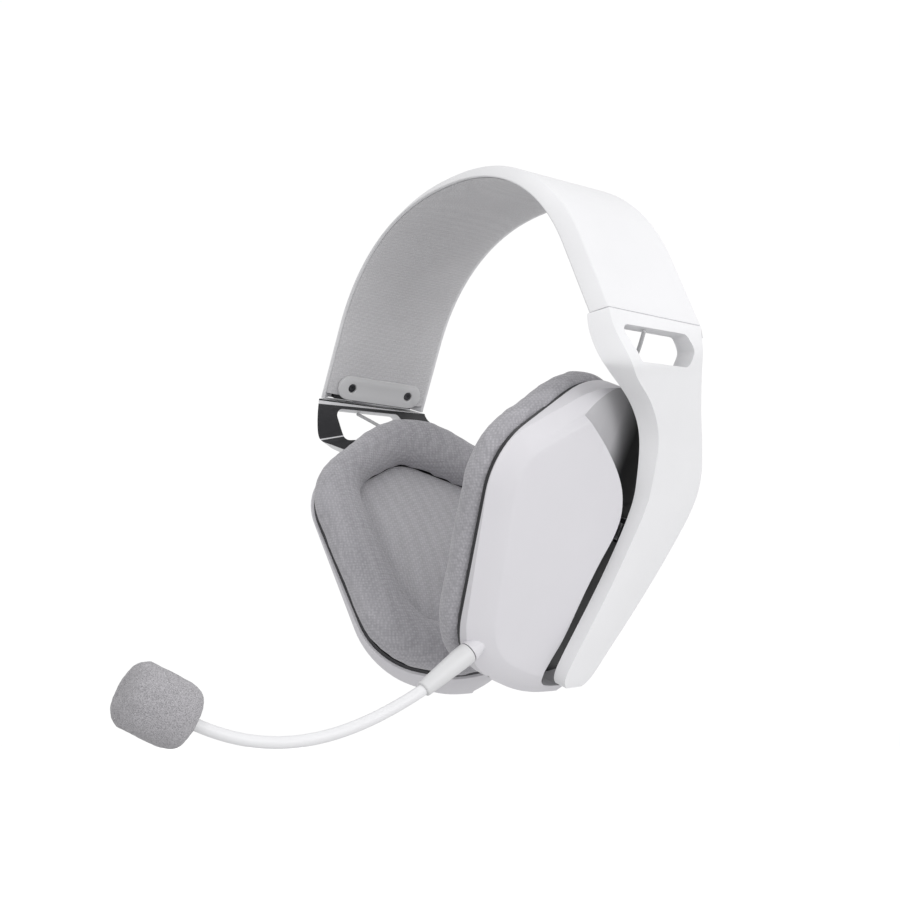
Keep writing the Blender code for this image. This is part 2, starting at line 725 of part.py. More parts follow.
def turned(name, profile, frame, steps=32):
    """Solid of revolution: a profile of (radius, height) turned about the frame's third axis."""
    bm = bmesh.new()
    loops = []
    for radius, height in profile:
        if radius == 0.0:
            loops.append([bm.verts.new((0, 0, height))])
            continue
        ring = []
        for i in range(steps):
            angle = 2 * math.pi * i / steps
            ring.append(bm.verts.new((radius * math.cos(angle), radius * math.sin(angle), height)))
        loops.append(ring)
    for low, high in zip(loops, loops[1:]):
        if len(low) == len(high) == 1:
            continue
        for i in range(steps):
            j = (i + 1) % steps
            if len(low) == 1:
                bm.faces.new((low[0], high[j], high[i]))
            elif len(high) == 1:
                bm.faces.new((low[i], low[j], high[0]))
            else:
                bm.faces.new((low[i], low[j], high[j], high[i]))
    bmesh.ops.transform(bm, matrix=frame, verts=bm.verts)
    return finish_mesh(bm, name)


def driver_frame(name):
    """Basket: a rim around the diaphragm and a spider disc under the magnet."""
    rim = DRIVER_RADIUS
    profile = [(0.0, 2.6), (rim - 4.0, 2.6), (rim - 2.4, -1.6), (rim, -1.6), (rim, 3.6), (0.0, 3.6)]
    return turned(name, profile, cup_place(*DRIVER_CENTRE, 0.0))


def driver_diaphragm(name):
    rim = DRIVER_RADIUS - 3.0
    front = [(0.0, -1.3), (5.0, -0.9), (7.0, 0.0), (11.0, -1.1), (rim, -0.9)]
    profile = front + [(radius, height + 0.3) for radius, height in reversed(front)]
    return turned(name, profile, cup_place(*DRIVER_CENTRE, 0.0))


def driver_magnet(name):
    frame = cup_place(*DRIVER_CENTRE, 3.6 + GAP + 1.3)
    return rod(name, 9.5, 2.6, frame, sides=32)


# ------------------------------------------------------------------ electronics and controls
def edge_place(share, level, inset=0.0):
    """Frame on the back edge of the cup: first axis along the edge, third axis outward."""
    high, low = Vector(CUP_CORNERS[5]), Vector(CUP_CORNERS[4])
    along = (low - high).normalized()
    spot = high + (low - high) * share
    out = Vector((-along.y, along.x))
    spot = spot + out * (RIM_GROW - inset)
    third = CUP_BACK * out.x + CUP_UP * out.y
    first = CUP_BACK * along.x + CUP_UP * along.y
    return frame_from(cup_point(spot.x, spot.y, level), first, third)


BUTTON_SHARES = {"power_button": 0.33, "mute_button": 0.47}
WHEEL_SHARE = 0.62


def cut_control_holes(shell):
    for share in BUTTON_SHARES.values():
        size = (BUTTON_LENGTH + 0.5, BUTTON_HEIGHT + 0.5, 8.0)
        cut(shell, box("button_hole", size, edge_place(share, BUTTON_LEVEL), CUTTERS))
    size = (2 * WHEEL_RADIUS, WHEEL_THICK + 0.6, 8.0)
    cut(shell, box("wheel_hole", size, edge_place(WHEEL_SHARE, BUTTON_LEVEL), CUTTERS))
    cut(shell, box("port_hole", (9.8, 3.8, 9.0), port_place(0.0), CUTTERS))
    cut(shell, rod("mic_seat", SLEEVE_RADIUS + 0.3, 10.0, mic_frame(2.7), CUTTERS))
    return cut(shell, rod("mic_hole", 2.4, 18.0, mic_frame(-5.0), CUTTERS))


def edge_button(name):
    """Rounded key that stands 0.8 mm out of the edge."""
    frame = edge_place(BUTTON_SHARES[name], BUTTON_LEVEL)
    half_long, half_high = BUTTON_LENGTH / 2, BUTTON_HEIGHT / 2
    rings = []
    for depth, inset in ((-2.9, 0.0), (0.5, 0.0), (0.8, 0.35)):
        outline = rounded_rectangle(half_long - inset, half_high - inset, 0.8)
        rings.append([frame @ Vector((p.x, p.y, depth)) for p in outline])
    return loft(name, rings)


def wheel_centre():
    return edge_place(WHEEL_SHARE, BUTTON_LEVEL, inset=WHEEL_RADIUS - 1.2).translation


def volume_wheel(name):
    """Knurled thumb wheel, its axis square to the cup plane."""
    rings = []
    teeth = 24
    centre = wheel_centre()
    for side in (-0.5, 0.5):
        ring = []
        for i in range(2 * teeth):
            angle = math.pi * i / teeth
            radius = WHEEL_RADIUS - (0.25 if i % 2 else 0.0)
            offset = CUP_BACK * math.cos(angle) * radius + CUP_UP * math.sin(angle) * radius
            ring.append(centre + offset + CUP_OUT * side * WHEEL_THICK)
        rings.append(ring)
    return loft(name, rings)


def port_place(inset):
    """Frame on the bottom edge of the cup, in front of its lowest corner."""
    front, low = Vector(CUP_CORNERS[2]), Vector(CUP_CORNERS[3])
    along = (low - front).normalized()
    out = Vector((along.y, -along.x))
    spot = low - along * 12.0 + out * (RIM_GROW - 1.0 - inset)
    third = CUP_BACK * out.x + CUP_UP * out.y
    first = CUP_BACK * along.x + CUP_UP * along.y
    return frame_from(cup_point(spot.x, spot.y, 3.6), first, third)


def usb_port(name):
    """Metal charging socket: an oval tube closed at its inner end."""
    frame = port_place(0.0)

    def oval(half_long, half_high, depth):
        outline = rounded_rectangle(half_long, half_high, half_high * 0.95)
        return [frame @ Vector((p.x, p.y, depth)) for p in outline]

    rings = [oval(4.5, 1.65, -6.6), oval(4.5, 1.65, 0.2), oval(4.1, 1.25, 0.2), oval(4.1, 1.25, -5.6)]
    return loft(name, rings)


def circuit_board(name):
    outline = [(16.5, 6.0), (32.0, -1.0), (31.0, -33.0), (25.5, -58.0), (17.5, -62.0)]
    outline = rounded_outline(outline[::-1], [2.0] * 5)
    board = plate(name, outline, 1.6, 2.6)
    wheel = frame_from(wheel_centre(), CUP_BACK, CUP_OUT)
    return cut(board, rod("wheel_room", WHEEL_RADIUS + 1.0, 12.0, wheel, CUTTERS))


def battery(name):
    """Flat pouch cell under the driver."""
    corners = ((-17.0, -53.0), (-17.0, -69.0), (-1.5, -69.0), (-1.5, -53.0))
    rings = []
    for level, grow in ((1.8, -0.6), (2.4, 0.0), (4.6, 0.0), (5.2, -0.6)):
        rings.append([cup_point(p.x, p.y, level) for p in rounded_outline(corners, [2.0] * 4, grow)])
    return loft(name, rings)


# ------------------------------------------------------------------ microphone
MIC_AHEAD = Vector((*MIC_HEADING, 0.0)).normalized()
MIC_ORIGIN = cup_point(*MIC_POINT)


def mic_direction(rise):
    return MIC_AHEAD * math.cos(rise) + Vector((0, 0, 1)) * math.sin(rise)


MIC_AXIS = mic_direction(-MIC_DIP)
MIC_SIDE = MIC_AHEAD.cross(Vector((0, 0, 1)))


def mic_frame(along):
    return frame_from(MIC_ORIGIN + MIC_AXIS * along, MIC_SIDE, MIC_AXIS)


def mic_socket(name):
    """Jack socket inside the cup: a tube closed at its inner end."""
    profile = [(0.0, -12.5), (2.1, -12.5), (2.1, -2.6), (1.45, -2.6), (1.45, -11.7), (0.0, -11.7)]
    return turned(name, profile, mic_frame(0.0), steps=20)


def mic_plug(name):
    """Jack plug: tip, groove and barrel in one turned piece."""
    profile = [(0.0, -10.6), (0.7, -10.2), (1.2, -9.2), (0.85, -8.4), (1.2, -8.0), (1.2, 3.0), (0.0, 3.0)]
    return turned(name, profile, mic_frame(0.0), steps=16)


def mic_sleeve(name):
    """Grip sleeve over the plug, slightly tapered towards the boom."""
    bore = 1.25
    radius, length = SLEEVE_RADIUS, SLEEVE_LENGTH
    profile = [(bore, -2.0), (radius, -2.0), (radius, 2.0), (radius - 0.9, length - 0.6),
               (radius - 1.1, length), (0.0, length), (0.0, 3.3), (bore, 3.3)]
    return turned(name, profile + [profile[0]], mic_frame(0.0), steps=24)


def boom_path(start, end, steps):
    """Points on the boom's centre line between two shares of its length."""
    sleeve_end = MIC_ORIGIN + MIC_AXIS * (SLEEVE_LENGTH + GAP)
    tip = MIC_ORIGIN + MIC_AHEAD * BOOM_END[0] + Vector((0, 0, BOOM_END[1]))
    handles = (sleeve_end, sleeve_end + mic_direction(-BOOM_DIP) * BOOM_REACH[0],
               tip - mic_direction(BOOM_RISE) * BOOM_REACH[1], tip)
    points = []
    for step in range(steps + 1):
        t = start + (end - start) * step / steps
        weights = ((1 - t) ** 3, 3 * t * (1 - t) ** 2, 3 * t ** 2 * (1 - t), t ** 3)
        points.append(sum((h * w for h, w in zip(handles, weights)), Vector()))
    return points


BEND_SHARE = 0.5
BEND_HALF = 0.014
TIP_POINT = boom_path(1.0, 1.0, 1)[0]
TIP_AXIS = mic_direction(BOOM_RISE)


def tip_frame(along):
    return frame_from(TIP_POINT + TIP_AXIS * along, MIC_SIDE, TIP_AXIS)


def mic_capsule_holder(name):
    """Slotted cage at the end of the boom, inside the foam."""
    profile = [(0.0, GAP), (2.9, GAP), (4.9, 4.0), (4.9, 15.0), (4.2, 16.0), (0.0, 16.0)]
    holder = turned(name, profile, tip_frame(0.0), steps=24)
    return cut(holder, rod("seat", 3.4, 6.0, tip_frame(14.5), CUTTERS))


def mic_capsule(name):
    return rod(name, 3.0, 2.6, tip_frame(13.2), sides=24)


def mic_foam(name):
    """Foam windscreen: a rounded barrel with a blind bore over the cage."""
    radius, length = FOAM_RADIUS, FOAM_LENGTH
    profile = [(5.3, -2.6), (radius - 4.0, -2.6), (radius - 1.2, -0.8), (radius - 0.1, 3.0),
               (radius, length * 0.55), (radius - 0.6, length - 7.0), (radius - 2.0, length - 4.2),
               (radius - 5.0, length - 2.9), (0.0, length - 2.6), (0.0, 18.0), (5.3, 18.0)]
    return turned(name, profile + [profile[0]], tip_frame(0.0), steps=28)


# ------------------------------------------------------------------ assembly
def build_headband(root):
    root.take(headband_shell(), WHITE)
    root.take(liner_with_holes(), FABRIC)
    root.take(headband_spring(), STEEL)
    for maker, base, look in ((slider_guide, "slider_guide", DARK), (end_plate, "end_plate", CUP_GREY)):
        left = maker(base + "_left")
        right = mirrored(left, base + "_right")
        root.take(left, look)
        root.take(right, look)
    for place, y in (("front", -END_SCREW_Y), ("rear", END_SCREW_Y)):
        left = end_screw("end_screw_left_" + place, y)
        right = mirrored(left, "end_screw_right_" + place)
        root.take(left, DARK)
        root.take(right, DARK)


YOKE_PIECES = (
    (yoke, "yoke", WHITE),
    (yoke_inner_cover, "yoke_inner_cover", DARK),
    (slider_strip, "slider_strip", STEEL),
    (yoke_bracket, "yoke_bracket", STEEL),
    (yaw_pin, "yaw_pin", STEEL),
    (lead_wire, "lead_wire", WHITE),
)
CUP_PIECES = (
    (cup_baffle, "cup_baffle", DARK),
    (cup_bracket, "cup_bracket", STEEL),
    (tilt_pin, "tilt_pin", STEEL),
    (pad_frame, "pad_frame", DARK),
    (ear_pad, "ear_pad", FABRIC),
    (driver_cloth, "driver_cloth", FABRIC),
    (driver_frame, "driver_frame", DARK),
    (driver_diaphragm, "driver_diaphragm", FILM),
    (driver_magnet, "driver_magnet", STEEL),
)


def build_pieces(pieces, left_body, right_body):
    for maker, base, look in pieces:
        left = maker(base + "_left")
        right = mirrored(left, base + "_right")
        left_body.take(left, look)
        right_body.take(right, look)


def build_sides(root):
    """Both yokes, gimbals and cups; returns the left cup's body."""
    slide_origin = BAND_END + END_DOWN * YOKE_GAP
    yaw_origin = cup_point(PIVOT_U, PIVOT_V, YAW_LEVEL)
    tilt_origin = cup_point(PIVOT_U, PIVOT_V, TILT_LEVEL)
    bodies = {}
    for side, place in (("left", Vector), ("right", flip)):
        arm = Body("yoke_" + side, place(slide_origin), root)
        gimbal = Body("gimbal_" + side, place(yaw_origin), arm)
        bodies[side] = (arm, gimbal, Body("cup_" + side, place(tilt_origin), gimbal))
    build_pieces(YOKE_PIECES, bodies["left"][0], bodies["right"][0])
    build_pieces(((gimbal_block, "gimbal_block", DARK),), bodies["left"][1], bodies["right"][1])
    build_pieces(CUP_PIECES, bodies["left"][2], bodies["right"][2])
    left_shell = cup_shell("cup_shell_left")
    right_shell = mirrored(left_shell, "cup_shell_right")
    bodies["left"][2].take(cut_control_holes(left_shell), CUP_GREY)
    bodies["right"][2].take(right_shell, CUP_GREY)
    cell = battery("battery")
    bodies["right"][2].take(mirrored(cell, "battery_cell"), STEEL)
    bpy.data.objects.remove(cell, do_unlink=True)
    return bodies["left"][2]


def build_controls(cup):
    cup.take(circuit_board("circuit_board"), BOARD)
    cup.take(usb_port("usb_port"), STEEL)
    cup.take(mic_socket("mic_socket"), DARK)
    for name in BUTTON_SHARES:
        key = Body(name, edge_place(BUTTON_SHARES[name], BUTTON_LEVEL).translation, cup)
        key.take(edge_button(name), WHITE)
    wheel = Body("volume_wheel", wheel_centre(), cup)
    wheel.take(volume_wheel("volume_wheel"), WHITE)


def build_microphone(cup):
    boom = Body("mic_boom", MIC_ORIGIN, cup)
    boom.take(mic_plug("mic_plug"), STEEL)
    boom.take(mic_sleeve("mic_sleeve"), WHITE)
    boom.take(tube("boom_root", boom_path(0.0, BEND_SHARE - BEND_HALF, 10), BOOM_RADIUS), WHITE)
    tip = Body("mic_tip", boom_path(BEND_SHARE, BEND_SHARE, 1)[0], boom)
    tip.take(tube("boom_tip", boom_path(BEND_SHARE + BEND_HALF, 1.0, 10), BOOM_RADIUS), WHITE)
    tip.take(mic_capsule_holder("mic_capsule_holder"), DARK)
    tip.take(mic_capsule("mic_capsule"), STEEL)
    tip.take(mic_foam("mic_foam"), FOAM_GREY)


def build():
    root = Body("headband", (0.0, 0.0, 0.0))
    build_headband(root)
    left_cup = build_sides(root)
    build_controls(left_cup)
    build_microphone(left_cup)


build()
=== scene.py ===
import json
import math

import bmesh
import bpy
from mathutils import Matrix, Vector, noise

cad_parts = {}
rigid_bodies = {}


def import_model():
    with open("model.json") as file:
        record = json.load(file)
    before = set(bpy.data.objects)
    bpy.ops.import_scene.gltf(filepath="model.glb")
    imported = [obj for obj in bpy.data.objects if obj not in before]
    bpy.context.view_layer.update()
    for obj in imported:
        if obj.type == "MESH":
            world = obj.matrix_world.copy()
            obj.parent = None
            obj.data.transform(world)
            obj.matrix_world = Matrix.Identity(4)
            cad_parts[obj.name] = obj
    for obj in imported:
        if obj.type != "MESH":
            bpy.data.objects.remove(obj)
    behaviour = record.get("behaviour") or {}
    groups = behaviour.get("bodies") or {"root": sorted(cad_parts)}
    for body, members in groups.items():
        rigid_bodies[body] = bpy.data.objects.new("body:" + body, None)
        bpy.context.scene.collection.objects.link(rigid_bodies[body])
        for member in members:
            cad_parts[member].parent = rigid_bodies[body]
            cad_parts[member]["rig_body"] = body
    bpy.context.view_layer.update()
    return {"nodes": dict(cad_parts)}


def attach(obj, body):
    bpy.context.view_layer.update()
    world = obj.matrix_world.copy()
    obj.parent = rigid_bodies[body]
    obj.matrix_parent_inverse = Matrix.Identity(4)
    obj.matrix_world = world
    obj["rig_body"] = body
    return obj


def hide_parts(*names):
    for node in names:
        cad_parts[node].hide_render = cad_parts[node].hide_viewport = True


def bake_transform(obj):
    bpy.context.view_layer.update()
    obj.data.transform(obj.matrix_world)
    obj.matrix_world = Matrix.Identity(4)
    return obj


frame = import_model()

NODES = frame["nodes"]
MM = 0.001

# ---- headband
BAND_THICK = 5.6
BAND_INNER_HALF = 26.4
BAND_OUTER_HALF = 20.9
BAND_WALL = 1.3
LINER_DROP = 0.6
LINER_TOP = 1.0
ARCH_HALF_SPAN = 83.0
ARCH_DEPTH = 86.5
ARCH_POWER = 2.22
ARCH_SWEEP = 1.074
ARCH_STEPS = 132
BAND_STRAIGHT = 30.0
APEX_HEIGHT = BAND_THICK + LINER_DROP + 0.022
END_PLATE_HALF = 20.0
END_PLATE_RADIUS = 5.0
END_PLATE_UP = 6.3
END_SCREW_Y = 13.75
END_SCREW_HOLE = 1.9
END_ARC_STEPS = 24
LINING_STEPS = 24
SLIDER_HALF = 9.0
SLIDER_FOOT = 2.0
SLIDER_LEVEL = 2.65
SLIDER_THICK = 0.8

# ---- ear cup plane: u points to the back, v up, w outward from the pad seam
CUP_ORIGIN = (50.5, 0.0, -113.0 + APEX_HEIGHT)
CUP_TOE = math.radians(15.0)
CUP_LEAN = math.radians(25.5)
CUP_LEVEL = Vector((math.cos(CUP_TOE), math.sin(CUP_TOE), 0.0))
CUP_OUT = CUP_LEVEL * math.cos(CUP_LEAN) - Vector((0.0, 0.0, math.sin(CUP_LEAN)))
CUP_BACK = Vector((-math.sin(CUP_TOE), math.cos(CUP_TOE), 0.0))
CUP_UP = CUP_OUT.cross(CUP_BACK)
CUP_CORNERS = ((-3.5, 33.3), (-45.0, -4.0), (-27.0, -75.0), (0.0, -80.5), (27.0, -75.0), (45.5, -2.0))
CUP_RADII = (27.0, 22.0, 24.0, 40.0, 24.0, 18.0)
CUP_CENTRE = (-1.0, -24.0)
RIM_GROW = 2.8
RIM_LOW = -1.9
SEAM_LOW = -2.75
BEVEL_GROW = -4.7
BEVEL_DROP = 3.6
SHELL_WALL = 1.8
RECESS_FLOOR = 7.4
RECESS_SLOPE = 0.06
RECESS_BREAK = -28.0
RECESS_EDGE = ((-36.0, 30.0), (-24.0, 19.0), (-7.0, 7.5), (3.5, -2.0), (8.6, -11.0), (9.6, -20.0),
               (7.6, -32.0), (6.0, -44.0), (4.4, -60.0), (2.4, -69.0), (1.8, -75.0), (5.5, -78.4),
               (14.0, -77.2), (24.0, -75.0))
LIP_START = 14.5
LIP_END = 25.0
LIP_HIGH = 11.0
LIP_LOW = 4.4
LIP_BOTTOM = -92.0
LIP_TOP = -70.0
CUTTER_BACK = 75.0
CUTTER_TOP = 60.0
CUTTER_RISE = 60.0
SHADE_FROM = 1.0
SHADE_TO = 13.0
HOLE_CORNERS = ((-7.0, 11.0), (-28.5, -3.0), (-11.5, -60.0), (0.0, -63.0), (11.5, -60.0), (28.5, -3.0))
HOLE_RADII = (12.0, 9.0, 9.0, 20.0, 9.0, 9.0)
PAD_GROW = 4.0
PAD_SECTION = ((0.12, 3.0), (0.03, 5.0), (0.0, 9.0), (0.03, 12.2), (0.13, 14.6), (0.30, 15.6),
               (0.52, 15.6), (0.76, 14.6), (0.93, 11.6), (1.0, 7.0), (1.0, 3.0))
PAD_HELD_ABOVE = -4.2
CLOTH_LEVEL = -4.2
CLOTH_BULGE = 2.2
CLOTH_TUCK = 0.9
CLOTH_RINGS = 12

# ---- openings for the controls and the port of the left cup
BUTTON_SHARES = (0.33, 0.47)
WHEEL_SHARE = 0.62
CONTROL_LEVEL = 2.8
BUTTON_HOLE = (9.5, 2.9, 8.0)
WHEEL_HOLE = (12.0, 2.6, 8.0)
PORT_HOLE = (9.8, 3.8, 9.0)
PORT_ALONG = 12.0
PORT_LEVEL = 3.6

# ---- yoke
YOKE_LEVEL = 22.0
YOKE_THICK = 5.0
YOKE_GAP = 0.5
YOKE_FRONT = ((-19.6, 33.5), (-5.8, 26.5), (5.5, 15.9), (11.2, 1.0), (13.0, -9.0), (11.5, -25.0),
              (9.0, -42.0), (5.2, -60.0), (3.2, -72.0), (6.0, -75.6))
YOKE_REAR = ((16.0, 41.9), (24.0, 30.0), (33.5, 17.5), (40.5, 6.0), (41.8, -6.0), (37.0, -24.5),
             (30.4, -43.0), (23.0, -60.5), (18.4, -71.0), (14.5, -74.6))
YOKE_SPREAD = (5.5, 5.6, 6.0, 6.0, 5.0, 4.0, 2.5, 1.2, 0.3)
YOKE_BULGE = (0.0, 1.0, 2.0, 2.0, 1.5, 0.5, 0.0)
YOKE_STEPS = 9
WINDOW = ((-15.5, 9.3), (14.2, 2.2), (17.2, -4.0), (15.5, -9.0), (-12.5, -4.5))
WINDOW_ROUND = 2.5
WIRE_END = (-2.0, 30.4, 3.5)
WIRE_RADIUS = 0.7
WIRE_DROP = 5.2
WIRE_SINK = 2.8
WIRE_Y = -5

# ---- microphone
MIC_POINT = (-30.4, -73.5, 2.7)
MIC_HEADING = (-0.14, -0.99)
MIC_DIP = math.radians(36.7)
SLEEVE_LENGTH = 19.0
SLEEVE_RADIUS = 3.7
BOOM_RADIUS = 2.0
BOOM_DIP = math.radians(31.0)
BOOM_RISE = math.radians(25.0)
BOOM_END = (97.5, -21.3)
BOOM_REACH = (32.0, 32.0)
FOAM_LENGTH = 24.0
FOAM_RADIUS = 10.9
GAP = 0.3

# ---- camera and room
CAMERA_PLACE = (0.45773, -0.35622, -0.19957)
CAMERA_RIGHT = (0.5915, 0.8063, 0.0026)
CAMERA_UP = (0.1405, -0.1062, 0.9844)
CAMERA_LENS = 63.18
CAMERA_SENSOR = 36.0
FLOOR_LEVEL = -0.3
WORLD_BRIGHT_SIDE = (0.9, 0.05, 0.2)
WORLD_DIM = 0.64
WORLD_FULL = 1.1
WORLD_SPAN = 0.9
WORLD_SEEN = 1.02
FLOOR_SIZE = 9000.0
FLOOR_GLOW = 0.55
LIGHT_TARGET = (0.03, 0.0, -0.1)
KEY_PLACE = (1.0, 0.0, -0.05)
KEY_SIZE = 0.5
KEY_POWER = 2.6
TOP_PLACE = (-0.1, -0.2, 1.2)
TOP_SIZE = 0.6
TOP_POWER = 2.2


# ------------------------------------------------------------------ meshes
def finish_mesh(bm, name):
    """Make an object from a bmesh in millimetres, with outward faces."""
    bmesh.ops.remove_doubles(bm, verts=bm.verts, dist=1e-4)
    bmesh.ops.recalc_face_normals(bm, faces=bm.faces)
    bmesh.ops.scale(bm, vec=(MM, MM, MM), verts=bm.verts)
    mesh = bpy.data.meshes.new(name)
    bm.to_mesh(mesh)
    bm.free()
    item = bpy.data.objects.new(name, mesh)
    bpy.context.scene.collection.objects.link(item)
    return item


def loft(name, rings, closed=False):
    """Skin rings that all have the same number of points; cap the ends unless closed."""
    bm = bmesh.new()
    loops = [[bm.verts.new(point) for point in ring] for ring in rings]
    count = len(rings[0])
    pairs = list(zip(loops, loops[1:]))
    if closed:
        pairs.append((loops[-1], loops[0]))
    for low, high in pairs:
        for i in range(count):
            j = (i + 1) % count
            bm.faces.new((low[i], low[j], high[j], high[i]))
    if not closed:
        bm.faces.new(loops[0])
        bm.faces.new(loops[-1])
    return finish_mesh(bm, name)


def box(name, size, frame_matrix):
    bm = bmesh.new()
    bmesh.ops.create_cube(bm, size=1.0)
    bmesh.ops.scale(bm, vec=size, verts=bm.verts)
    bmesh.ops.transform(bm, matrix=frame_matrix, verts=bm.verts)
    return finish_mesh(bm, name)


def rod(name, radius, length, frame_matrix, sides=48):
    bm = bmesh.new()
    bmesh.ops.create_cone(bm, cap_ends=True, segments=sides, radius1=radius, radius2=radius, depth=length)
    bmesh.ops.transform(bm, matrix=frame_matrix, verts=bm.verts)
    return finish_mesh(bm, name)


def turned(name, profile, frame_matrix, steps=64):
    """Solid of revolution: a profile of (radius, height) turned about the frame's third axis."""
    bm = bmesh.new()
    loops = []
    for radius, height in profile:
        if radius == 0.0:
            loops.append([bm.verts.new((0, 0, height))])
            continue
        ring = []
        for i in range(steps):
            angle = 2 * math.pi * i / steps
            ring.append(bm.verts.new((radius * math.cos(angle), radius * math.sin(angle), height)))
        loops.append(ring)
    for low, high in zip(loops, loops[1:]):
        if len(low) == len(high) == 1:
            continue
        for i in range(steps):
            j = (i + 1) % steps
            if len(low) == 1:
                bm.faces.new((low[0], high[j], high[i]))
            elif len(high) == 1:
                bm.faces.new((low[i], low[j], high[0]))
            else:
                bm.faces.new((low[i], low[j], high[j], high[i]))
    bmesh.ops.transform(bm, matrix=frame_matrix, verts=bm.verts)
    return finish_mesh(bm, name)


def tube(name, points, radius, sides):
    """Round tube along points, with domed ends."""
    tangents = []
    for i in range(len(points)):
        tangents.append((points[min(i + 1, len(points) - 1)] - points[max(i - 1, 0)]).normalized())
    normal = tangents[0].orthogonal().normalized()
    rings = []
    for i, (point, tangent) in enumerate(zip(points, tangents)):
        normal = (normal - tangent * normal.dot(tangent)).normalized()
        side = tangent.cross(normal)
        steps = [(0.0, 1.0)]
        if i in (0, len(points) - 1):
            sign = -1.0 if i == 0 else 1.0
            arc = [(sign * radius * 0.35 * math.sin(a), 0.65 + 0.35 * math.cos(a))
                   for a in (0.0, math.pi / 6, math.pi / 3, math.pi / 2)]
            steps = arc[::-1] if i == 0 else arc
        for shift, grow in steps:
            ring = []
            for k in range(sides):
                angle = 2 * math.pi * k / sides
                arm = normal * math.cos(angle) + side * math.sin(angle)
                ring.append(point + tangent * shift + arm * radius * grow)
            rings.append(ring)
    return loft(name, rings)


def apply_modifiers(item):
    depsgraph = bpy.context.evaluated_depsgraph_get()
    mesh = bpy.data.meshes.new_from_object(item.evaluated_get(depsgraph))
    item.modifiers.clear()
    item.data = mesh


def cut(item, *cutters, operation="DIFFERENCE"):
    """Boolean each cutter into the item in turn, then remove the cutters."""
    for cutter in cutters:
        modifier = item.modifiers.new("cut", "BOOLEAN")
        modifier.operation = operation
        modifier.solver = "EXACT"
        modifier.object = cutter
        apply_modifiers(item)
        bpy.data.objects.remove(cutter, do_unlink=True)
    return item


def soften(item, width, segments, angle=30.0, smooth_angle=40.0):
    """Round the sharp edges and shade the faces smooth."""
    modifier = item.modifiers.new("edges", "BEVEL")
    modifier.width = width * MM
    modifier.segments = segments
    modifier.limit_method = "ANGLE"
    modifier.angle_limit = math.radians(angle)
    modifier.use_clamp_overlap = True
    modifier.miter_outer = "MITER_ARC"
    apply_modifiers(item)
    return smooth(item, smooth_angle)


def smooth(item, angle=40.0):
    item.data.polygons.foreach_set("use_smooth", [True] * len(item.data.polygons))
    item.data.set_sharp_from_angle(angle=math.radians(angle))
    return item


def mirrored(item, name):
    """Copy of an object reflected to the other side of the head."""
    bm = bmesh.new()
    bm.from_mesh(item.data)
    bmesh.ops.scale(bm, vec=(-1.0, 1.0, 1.0), verts=bm.verts)
    bmesh.ops.reverse_faces(bm, faces=bm.faces)
    mesh = bpy.data.meshes.new(name)
    bm.to_mesh(mesh)
    bm.free()
    for material in item.data.materials:
        mesh.materials.append(material)
    twin = bpy.data.objects.new(name, mesh)
    bpy.context.scene.collection.objects.link(twin)
    return smooth(twin)


# ------------------------------------------------------------------ materials
class Shader:
    """Small helper around one material's node tree, on coordinates in metres."""

    def __init__(self, name):
        self.material = bpy.data.materials.new(name)
        self.material.use_nodes = True
        self.tree = self.material.node_tree
        self.surface = self.tree.nodes["Principled BSDF"]
        self.place = self.tree.nodes.new("ShaderNodeTexCoord").outputs["Object"]

    def node(self, kind, **inputs):
        item = self.tree.nodes.new(kind)
        for key, value in inputs.items():
            self.feed(item.inputs[key.replace("_", " ")], value)
        return item

    def feed(self, socket, value):
        if isinstance(value, bpy.types.NodeSocket):
            self.tree.links.new(value, socket)
        else:
            socket.default_value = value

    def noise(self, size, detail=2.0, roughness=0.5):
        """Noise whose grains are about this many millimetres across."""
        item = self.node("ShaderNodeTexNoise", Vector=self.place, Scale=1000.0 / size, Detail=detail,
                         Roughness=roughness)
        return item.outputs["Fac"]

    def cells(self, size, randomness=1.0):
        item = self.node("ShaderNodeTexVoronoi", Vector=self.place, Scale=1000.0 / size,
                         Randomness=randomness)
        return item.outputs["Distance"]

    def wave(self, period, turn, distortion=0.6):
        """Smooth bands with a period in millimetres, turned by angles in degrees."""
        mapping = self.node("ShaderNodeMapping", Vector=self.place)
        mapping.inputs["Rotation"].default_value = [math.radians(a) for a in turn]
        item = self.node("ShaderNodeTexWave", Vector=mapping.outputs["Vector"], Scale=314.0 / period,
                         Distortion=distortion, Detail=1.0)
        item.inputs["Detail Scale"].default_value = 1.5
        return item.outputs["Fac"]

    def math(self, operation, a, b):
        item = self.tree.nodes.new("ShaderNodeMath")
        item.operation = operation
        self.feed(item.inputs[0], a)
        self.feed(item.inputs[1], b)
        return item.outputs[0]

    def span(self, value, low, high, source=(0.0, 1.0)):
        item = self.node("ShaderNodeMapRange", Value=value)
        item.inputs["From Min"].default_value = source[0]
        item.inputs["From Max"].default_value = source[1]
        item.inputs["To Min"].default_value = low
        item.inputs["To Max"].default_value = high
        return item.outputs["Result"]

    def mix(self, factor, a, b):
        item = self.tree.nodes.new("ShaderNodeMix")
        item.data_type = "RGBA"
        self.feed(item.inputs["Factor"], factor)
        self.feed(item.inputs["A"], (*a, 1.0) if isinstance(a, tuple) else a)
        self.feed(item.inputs["B"], (*b, 1.0) if isinstance(b, tuple) else b)
        return item.outputs["Result"]

    def finish(self, colour, roughness, height=None, depth=0.0, **constants):
        self.feed(self.surface.inputs["Base Color"], colour)
        self.feed(self.surface.inputs["Roughness"], roughness)
        if height is not None:
            bump = self.node("ShaderNodeBump", Height=height, Strength=1.0, Distance=depth * MM)
            self.tree.links.new(bump.outputs["Normal"], self.surface.inputs["Normal"])
        for key, value in constants.items():
            self.surface.inputs[key.replace("_", " ")].default_value = value
        return self.material


def shade_of(colour, factor):
    return tuple(min(1.0, c * factor) for c in colour)


